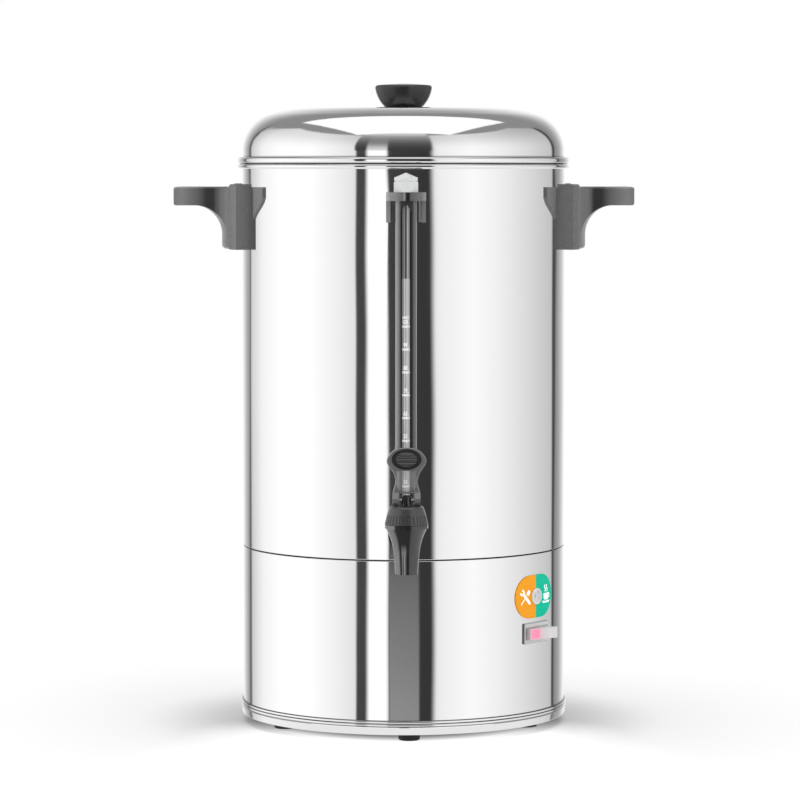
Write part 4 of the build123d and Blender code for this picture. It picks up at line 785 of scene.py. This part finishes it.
# Painted highlights on the ribs, and a painted reflection on the rim round the oval.
rib_highlights = times(tree, step(tree, waves, 0.2, 0.8), step(tree, off, 0.40, 0.50, 0.24, 0.0))
pad_painted_light = calc(tree, "ADD", step(tree, off, 0.85, 0.95, 0.03, 0.15), rib_highlights)
connect(tree, shader.inputs["Base Color"], mix(tree, pad_painted_light, grey(0), grey(1)))
cover(lever_black, "tap_lever")

# %% [markdown]
# ### Rubber, silicone and small plastics
#
# Feet, seals, the inlet, the button's housing, the tube's cap and the wires. Each is one colour
# with the moulded skin, coarser and duller for rubber than for plastic.

# %% Small soft and hard plastics
rubber, tree, shader = new_finish("foot_rubber", (0.02, 0.02, 0.02))
surface(tree, shader, moulded_skin, 0.1 * MM, Grain=1.0, Size=350.0, Gloss=0.7, Wear=0.1)
cover(rubber, "foot_1", "foot_2", "foot_3", "foot_4", "foot_5")

silicone, tree, shader = new_finish("milky_silicone", (0.72, 0.72, 0.70))
surface(tree, shader, moulded_skin, 0.05 * MM, Grain=0.6, Size=300.0, Gloss=0.5, Wear=0.1)
cover(silicone, "tap_gasket_inner", "tap_gasket_outer", "tap_seat", "gauge_seal")

inlet_black, tree, shader = new_finish("inlet_black", (0.03, 0.03, 0.03))
surface(tree, shader, moulded_skin, 0.08 * MM, Grain=1.0, Size=450.0, Gloss=0.45, Wear=0.1)
cover(inlet_black, "inlet_body", "button_nut")

white_plastic, tree, shader = new_finish("white_plastic", (0.86, 0.87, 0.86))
surface(tree, shader, moulded_skin, 0.03 * MM, Grain=0.5, Size=300.0, Gloss=0.25, Wear=0.05)
cover(white_plastic, "button_housing")

cap_white, tree, shader = new_finish("cap_white", (0.84, 0.85, 0.85))
surface(tree, shader, moulded_skin, 0.03 * MM, Grain=0.5, Size=300.0, Gloss=0.25, Wear=0.05)
cover(cap_white, "tube_cap")

wire_sleeve, tree, shader = new_finish("wire_sleeve", (0.70, 0.66, 0.58))
surface(tree, shader, moulded_skin, 0.1 * MM, Grain=1.0, Size=600.0, Gloss=0.6, Wear=0.1)
cover(wire_sleeve, "wiring")

# %% [markdown]
# ### Sight tube and window
#
# The tube is a narrow glass pipe. Traced as real glass it is noisy and shows little more than streaks of
# light and dark, so these streaks are painted reflections in its colour, with little light let through, and
# the colour also glows a little as painted light: one set where the tube is dry and a brighter one where
# water stands in it. The lever's window is thin smoky plastic, and stays clear so that the scale shows behind
# it.

# %% Clear pieces
WATER_Z = 372.6 * MM         # where the water stands in the tube
WATER_EDGE = 0.3 * MM
# Painted light: a faint glow of the tube, and painted reflections across it, in millimetres from its middle,
# with their tones.
GLASS_PAINTED_GLOW = 0.22
DRY_PAINTED_REFLECTIONS = [
    (-3.2, 0.25), (-1.0, 0.35), (-0.4, 0.02), (0.3, 0.02), (0.8, 0.62), (2.6, 0.5), (3.2, 0.3),
]
WET_PAINTED_REFLECTIONS = [
    (-3.2, 0.6), (-2.0, 0.35), (-1.3, 0.95), (-0.5, 0.38), (0.4, 0.7), (2.6, 0.85), (3.2, 0.5),
]
tube_glass, tree, shader = new_finish(
    "gauge_glass", (0.5, 0.5, 0.5), Transmission_Weight=0.15, IOR=1.47, Roughness=0.08
)
wet = step(tree, object_place(tree)[2], WATER_Z - WATER_EDGE, WATER_Z + WATER_EDGE, 1.0, 0.0)
painted_reflections = mix(tree, wet, tones_across(tree, DRY_PAINTED_REFLECTIONS, 3.2), tones_across(tree, WET_PAINTED_REFLECTIONS, 3.2))
connect(tree, shader.inputs["Base Color"], painted_reflections)
connect(tree, shader.inputs["Emission Color"], painted_reflections)
shader.inputs["Emission Strength"].default_value = GLASS_PAINTED_GLOW
cover(tube_glass, "sight_tube")

smoky, tree, shader = new_finish(
    "smoky_window", (0.86, 0.86, 0.87), Transmission_Weight=0.85, IOR=1.05, Roughness=0.0
)
cover(smoky, "lever_window")

# %% [markdown]
# ## Valve spring
#
# The coil under the bonnet shortens as the stem rises, and a rigid coil would cut into the stem. The coil is
# made again here from round wire with even turns, hung on the urn, and the assembly's coil is hidden.

# %% Make the coil
WIRE_R = 0.45 * MM
COIL_TURNS = 7
COIL_STEPS = 32 * COIL_TURNS
WIRE_CORNERS = 8
spring_low, spring_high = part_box("tap_spring")
coil_mid_y = (spring_low.y + spring_high.y) / 2
coil_r = (spring_high.x - spring_low.x) / 2 - WIRE_R
coil_foot = spring_low.z + WIRE_R
coil_h = spring_high.z - spring_low.z - 2 * WIRE_R
verts = []
for number in range(COIL_STEPS + 1):
    turn = 2 * pi * COIL_TURNS * number / COIL_STEPS
    for corner in range(WIRE_CORNERS):
        angle = 2 * pi * corner / WIRE_CORNERS
        reach = coil_r + WIRE_R * cos(angle)
        rise = coil_foot + coil_h * number / COIL_STEPS + WIRE_R * sin(angle)
        verts.append((reach * cos(turn), coil_mid_y + reach * sin(turn), rise))
faces = skin_faces(COIL_STEPS + 1, WIRE_CORNERS, joined=False)
faces += [tuple(range(WIRE_CORNERS))]
faces += [tuple(COIL_STEPS * WIRE_CORNERS + c for c in reversed(range(WIRE_CORNERS)))]
spring_coil = new_mesh("spring_coil", verts, faces)
for face in spring_coil.data.polygons:
    face.use_smooth = len(face.vertices) == 4
spring_coil.data.materials.append(parts["tap_spring"].data.materials[0])
print("coil height mm:", round(coil_h / MM, 2))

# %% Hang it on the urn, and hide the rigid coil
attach(spring_coil, "urn")
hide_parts("tap_spring")
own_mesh(spring_coil)

# %% [markdown]
# ## Switch and indicator plate
#
# The bezel is silver in front, and its flanks are painted dark as painted shade. The rocker is pale, and a
# lamp lights a square at its left end; the lamp's light is also painted a little beyond the square, as pink
# in the rocker's colour. The plate is half orange and half green, and glows a little as painted light. Each
# could be cut into smaller pieces, but each is one piece on the urn, so its colours are told apart by place:
# how far a point lies round the urn, how high, and how squarely it faces outwards. More than one finish needs
# these measures, so they are node groups.

# %% Places round the urn
wall_place, given, put = new_group("wall_place", {"Turn": 0.0, "Radius": 0.1}, ["Along", "High"])
east, north, high = object_place(wall_place)
turn = calc(wall_place, "ARCTAN2", east, times(wall_place, north, -1.0))
turn = calc(wall_place, "SUBTRACT", turn, given["Turn"])
connect(wall_place, put["Along"], times(wall_place, turn, given["Radius"]))
connect(wall_place, put["High"], high)

faces_out, given, put = new_group("faces_out", {}, ["Outwards"])
here = add_node(faces_out, "ShaderNodeNewGeometry").outputs
level = add_node(faces_out, "ShaderNodeVectorMath", {0: here["Position"], 1: (1, 1, 0)}, operation="MULTIPLY")
away = add_node(faces_out, "ShaderNodeVectorMath", {0: level.outputs[0]}, operation="NORMALIZE")
facing = add_node(
    faces_out, "ShaderNodeVectorMath", {0: away.outputs[0], 1: here["Normal"]}, operation="DOT_PRODUCT"
)
connect(faces_out, put["Outwards"], facing.outputs["Value"])


def round_the_urn(tree, turn, radius):
    """Distance along the wall from a bearing, and the height of the point."""
    inputs = {"Turn": radians(turn), "Radius": radius}
    return add_node(tree, "ShaderNodeGroup", inputs, node_tree=wall_place).outputs


def outwards(tree):
    """How far a face looks away from the urn's axis: 1 straight out, 0 sideways."""
    return add_node(tree, "ShaderNodeGroup", node_tree=faces_out).outputs[0]


print("nodes in them:", len(wall_place.nodes), "and", len(faces_out.nodes))

# %% Switch bezel
# The flanks' dark is painted shade; the silver front is the bezel's own colour.
FLANK_SHADE = (0.15, 0.15, 0.153, 1)
SILVER = (0.74, 0.75, 0.76, 1)
switch_grey, tree, shader = new_finish("switch_grey", (0.60, 0.61, 0.62))
surface(tree, shader, moulded_skin, 0.04 * MM, Grain=0.6, Size=500.0, Gloss=0.3, Wear=0.08)
front_of_it = step(tree, outwards(tree), 0.55, 0.85)
connect(tree, shader.inputs["Base Color"], mix(tree, front_of_it, FLANK_SHADE, SILVER))
cover(switch_grey, "switch_housing")

# %% Lit rocker
SWITCH_TURN = 52.3           # degrees round from the tap
ROCKER_FACE_R = 142.0 * MM
LAMP_FROM = -15.9 * MM       # ends of the lit square, round the urn from the switch's middle
LAMP_TO = -5.5 * MM
LAMP_EDGE = 0.8 * MM         # softness of these ends
LAMP_HALF_H = (3.3 * MM, 4.3 * MM)
# Painted lamp light: the lamp's pink is painted into the pale rocker beside the lit square, fading away from
# it.
LAMP_SPILL = 0.45                 # how much of the lamp's colour spreads beyond the square
LAMP_SPILL_FADE = (-8.7 * MM, 5.7 * MM)
ROCKER_GLOW = 0.35
PALE = (0.86, 0.85, 0.86, 1)
LAMP_SPILL_PINK = (0.86, 0.45, 0.56, 1)
LIT = (0.95, 0.24, 0.40, 1)
LAMP_GLOW = (1.0, 0.30, 0.44, 1)
rocker_low, rocker_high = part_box("switch_rocker")
switch_z = (rocker_low.z + rocker_high.z) / 2

rocker_pale, tree, shader = new_finish("rocker_pale", (0.74, 0.71, 0.73), Roughness=0.25)
along_it, high = round_the_urn(tree, SWITCH_TURN, ROCKER_FACE_R)
from_middle = calc(tree, "ABSOLUTE", calc(tree, "SUBTRACT", high, switch_z))
lamp_start = (LAMP_FROM - LAMP_EDGE, LAMP_FROM + LAMP_EDGE)
lamp_end = (LAMP_TO - LAMP_EDGE, LAMP_TO + LAMP_EDGE)
lit = times(
    tree,
    between(tree, along_it, lamp_start, lamp_end),
    step(tree, from_middle, *LAMP_HALF_H, 1.0, 0.0),
    step(tree, outwards(tree), 0.5, 0.8),
)
lamp_spill = times(
    tree,
    step(tree, along_it, *LAMP_SPILL_FADE, LAMP_SPILL, 0.0),
    step(tree, along_it, LAMP_FROM - LAMP_EDGE, LAMP_FROM),
)
connect(tree, shader.inputs["Base Color"], mix(tree, lit, mix(tree, lamp_spill, PALE, LAMP_SPILL_PINK), LIT))
connect(tree, shader.inputs["Emission Color"], mix(tree, lit, grey(0), LAMP_GLOW))
shader.inputs["Emission Strength"].default_value = ROCKER_GLOW
cover(rocker_pale, "switch_rocker")
# Like the grips, the switch is left out of what the skirt beside it mirrors.
for name in ("switch_rocker", "switch_housing"):
    parts[name].visible_glossy = False

# %% Plate colours
PLATE_TURN = 52.4            # degrees round from the tap
PLATE_FACE_R = 134.15 * MM
COLOUR_EDGE = 0.15 * MM
ORANGE = (1.0, 0.40, 0.02, 1)
GREEN = (0.0, 0.57, 0.36, 1)
# Painted light: the painted plate glows a little.
PLATE_PAINTED_GLOW = 0.12
plate_paint, tree, shader = new_finish("plate_paint", ORANGE[:3], Roughness=0.4, Specular_IOR_Level=0.1)
along_it = round_the_urn(tree, PLATE_TURN, PLATE_FACE_R)[0]
paint_tone = mix(tree, step(tree, along_it, -COLOUR_EDGE, COLOUR_EDGE), ORANGE, GREEN)
connect(tree, shader.inputs["Base Color"], paint_tone)
connect(tree, shader.inputs["Emission Color"], paint_tone)
shader.inputs["Emission Strength"].default_value = PLATE_PAINTED_GLOW
cover(plate_paint, "indicator_plate")

# %% [markdown]
# ## Printed marks
#
# The marks are prints, raised by about a tenth of a millimetre. An image could hold them, but
# thin solids stay sharp at any distance and need no unwrapping. Each mark is drawn flat, as bands
# along a line or as filled outlines, and then laid on the plate or on the sight tube by a
# function that turns flat measures into places.

# %% From flat measures to places
tube_low, tube_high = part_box("sight_tube")
TUBE_R = (tube_high.x - tube_low.x) / 2
TUBE_Y = (tube_high.y + tube_low.y) / 2
plate_low, plate_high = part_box("indicator_plate")
PLATE_Z = (plate_high.z + plate_low.z) / 2


def on_plate(u, v, out):
    """A place on the indicator plate: u round the urn, v up, out from the face."""
    angle = radians(PLATE_TURN) + u / PLATE_FACE_R
    far = PLATE_FACE_R + out
    return Vector((far * sin(angle), -far * cos(angle), PLATE_Z + v))


def on_tube(u, v, out):
    """A place on the front of the sight tube: u round it, v above the urn's foot."""
    far = TUBE_R + out
    return Vector((far * sin(u / TUBE_R), TUBE_Y - far * cos(u / TUBE_R), v))


print("tube radius mm:", round(TUBE_R / MM, 2), "plate middle mm:", round(PLATE_Z / MM, 2))

# %% Draw flat marks as thin solids
def add_slab(mesh, outline, lay, low, high):
    """Adds a filled outline of (u, v) points as a thin solid."""
    under = [mesh.verts.new(lay(u, v, low)) for u, v in outline]
    over = [mesh.verts.new(lay(u, v, high)) for u, v in outline]
    mesh.faces.new(over)
    mesh.faces.new(list(reversed(under)))
    for k in range(len(outline)):
        after = (k + 1) % len(outline)
        mesh.faces.new((under[k], under[after], over[after], over[k]))


def add_band(mesh, line, width, lay, low, high):
    """Adds a band along a line of (u, v) points as a thin solid."""
    left, right = [], []
    for k, (u, v) in enumerate(line):
        before, after = line[max(k - 1, 0)], line[min(k + 1, len(line) - 1)]
        du, dv = after[0] - before[0], after[1] - before[1]
        long = hypot(du, dv)
        nu, nv = -dv / long * width / 2, du / long * width / 2
        left.append((u + nu, v + nv))
        right.append((u - nu, v - nv))
    for k in range(len(line) - 1):
        add_slab(mesh, [right[k], right[k + 1], left[k + 1], left[k]], lay, low, high)


def straight(start, end, steps=6):
    """Points on a line."""
    return [
        (start[0] + (end[0] - start[0]) * k / steps, start[1] + (end[1] - start[1]) * k / steps)
        for k in range(steps + 1)
    ]


def printed(name, mesh, finish):
    """Turns a drawn mesh into a piece of the urn."""
    bmesh.ops.recalc_face_normals(mesh, faces=mesh.faces)
    data = bpy.data.meshes.new(name)
    mesh.to_mesh(data)
    mesh.free()
    data.materials.append(finish)
    made = bpy.data.objects.new(name, data)
    scene.collection.objects.link(made)
    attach(made, "urn")
    print(name, "faces:", len(data.polygons))


print("points on a short line:", straight((0, 0), (1, 0), 2))

# %% White print
# Painted light: the print glows a little, so that the small marks stay as bright as fresh white paint.
PRINT_PAINTED_GLOW = 0.45            # keeps the small marks as bright as fresh white paint
print_white, tree, shader = new_finish(
    "print_white", (0.93, 0.93, 0.93), Emission_Color=grey(1), Emission_Strength=PRINT_PAINTED_GLOW
)
surface(tree, shader, moulded_skin, 0.01 * MM, Grain=0.4, Size=900.0, Gloss=0.4, Wear=0.1)
print("print:", print_white.name)

# %% [markdown]
# ### Litre scale
#
# The scale has a bar for each litre with its number above, and the maximum mark over the last
# one. The lever hides the lowest ones, and number 3 shows through the lever's window. The numbers
# are the built-in letters, made into a mesh and stretched to the width that they have here.

# %% Letters
PRINT_LOW = 0.01 * MM        # the print starts just off the glass
PRINT_HIGH = 0.10 * MM
CAPITAL = 0.73               # height of a capital of the built-in letters, for size 1
LETTER_BOLD = 0.035          # how much fatter the strokes get, for size 1


def add_words(mesh, words, tall, wide, foot_v, lay):
    """Adds a line of built-in letters, tall and wide as given, with its foot at a height."""
    curve = bpy.data.curves.new("letters", "FONT")
    curve.body = words
    curve.size = tall / CAPITAL
    curve.extrude = 0.5      # only tells the front of a letter from its back
    curve.resolution_u = 3
    curve.offset = LETTER_BOLD * curve.size
    holder = bpy.data.objects.new("letters", curve)
    flat = bpy.data.meshes.new_from_object(holder)
    low_u = min(v.co.x for v in flat.vertices)
    high_u = max(v.co.x for v in flat.vertices)
    low_v = min(v.co.y for v in flat.vertices)
    for vert in flat.vertices:
        u = ((vert.co.x - low_u) / (high_u - low_u) - 0.5) * wide
        out = PRINT_HIGH if vert.co.z > 0 else PRINT_LOW
        vert.co = lay(u, foot_v + vert.co.y - low_v, out)
    mesh.from_mesh(flat)
    bpy.data.meshes.remove(flat)
    bpy.data.objects.remove(holder)
    bpy.data.curves.remove(curve)


print("print thickness mm:", round((PRINT_HIGH - PRINT_LOW) / MM, 2))

# %% Litre scale
LITRE_ZERO_Z = 154.0 * MM    # inside floor of the vessel
LITRE_STEP = 18.08 * MM      # rise of the water for each litre
FIRST_LITRE = 3
LAST_LITRE = 10
BAR_HALF = 3.9 * MM
BAR_T = 1.6 * MM
NUMBER_H = 3.3 * MM
NUMBER_GAP = 1.0 * MM        # between a bar and its number
NUMBER_W = 4.6 * MM
LONG_NUMBER_W = 5.6 * MM     # with two digits
WORD_H = 2.1 * MM
WORD_W = 6.2 * MM

scale = bmesh.new()
for litre in range(FIRST_LITRE, LAST_LITRE + 1):
    bar_z = LITRE_ZERO_Z + LITRE_STEP * litre
    bar = straight((-BAR_HALF, bar_z), (BAR_HALF, bar_z), 10)
    add_band(scale, bar, BAR_T, on_tube, PRINT_LOW, PRINT_HIGH)
    number_z = bar_z + BAR_T / 2 + NUMBER_GAP
    number_w = LONG_NUMBER_W if litre > 9 else NUMBER_W
    add_words(scale, f"{litre}L", NUMBER_H, number_w, number_z, on_tube)
add_words(scale, "MAX", WORD_H, WORD_W, number_z + NUMBER_H + NUMBER_GAP, on_tube)
printed("litre_scale", scale, print_white)

# %% [markdown]
# ### Signs on the plate
#
# The orange half of the plate shows crossed tools, for the reset button, and the green half a
# steaming cup, for keeping drinks warm. Both are drawn in millimetres round their own middle.

# %% Tools sign
SIGN_LOW = -0.15 * MM        # under the plate's face, so that a flat facet never shows below it
SIGN_HIGH = 0.12 * MM
TOOLS_U = -13.4 * MM         # middle of the sign, round the urn from the plate's middle
TOOLS_SIZE = 1.0


def sign_lay(middle_u, size):
    """Lays a sign drawn in millimetres round a middle."""
    return lambda u, v, out: on_plate(middle_u + u * MM * size, v * MM * size, out)


TOOL_STROKES = [
    (straight((-2.6, 2.6), (5.0, -5.0)), 2.3),       # the spanner's shaft, and its width
    (arc((-4.1, 4.1), 1.9, 175, 455), 1.5),          # its jaw
    (arc((5.0, -5.0), 0.6, -135, 45, 6), 1.1),       # its round end
    (straight((1.9, 1.9), (4.9, 4.9)), 3.0),         # the screwdriver's grip
    (straight((-4.6, -4.6), (-1.2, -1.2)), 0.9),     # its shaft
]
SCREWDRIVER_TIP = [(-5.9, -5.5), (-5.2, -5.9), (-3.9, -4.4), (-4.5, -3.9)]
tools = bmesh.new()
lay = sign_lay(TOOLS_U, TOOLS_SIZE)
for line, width in TOOL_STROKES:
    add_band(tools, line, width, lay, SIGN_LOW, SIGN_HIGH)
add_slab(tools, SCREWDRIVER_TIP, lay, SIGN_LOW, SIGN_HIGH)
printed("tools_sign", tools, print_white)

# %% Cup sign
CUP_U = 15.6 * MM
CUP_SIZE = 1.12
BOWL_CORNERS = arc((-1.2, -1.6), 2.2, 180, 270, 6) + arc((1.2, -1.6), 2.2, 270, 360, 6)
BOWL = [(-3.4, 1.0)] + BOWL_CORNERS + [(3.4, 1.0)]
SAUCER = [(-5.4, -4.5), (-4.2, -5.9), (4.2, -5.9), (5.4, -4.5)]
WISPS = (-1.5, 1.2)          # where the two wisps of steam rise
cup = bmesh.new()
lay = sign_lay(CUP_U, CUP_SIZE)
add_slab(cup, BOWL, lay, SIGN_LOW, SIGN_HIGH)
add_band(cup, arc((3.6, -0.7), 1.5, -100, 100, 10), 0.8, lay, SIGN_LOW, SIGN_HIGH)
add_slab(cup, SAUCER, lay, SIGN_LOW, SIGN_HIGH)
for side in WISPS:
    wisp = [(side + 0.7 * sin(k * pi / 4), 2.2 + k * 0.62) for k in range(9)]
    add_band(cup, wisp, 0.9, lay, SIGN_LOW, SIGN_HIGH)
printed("cup_sign", cup, print_white)

# %% End
print("scene dressed")
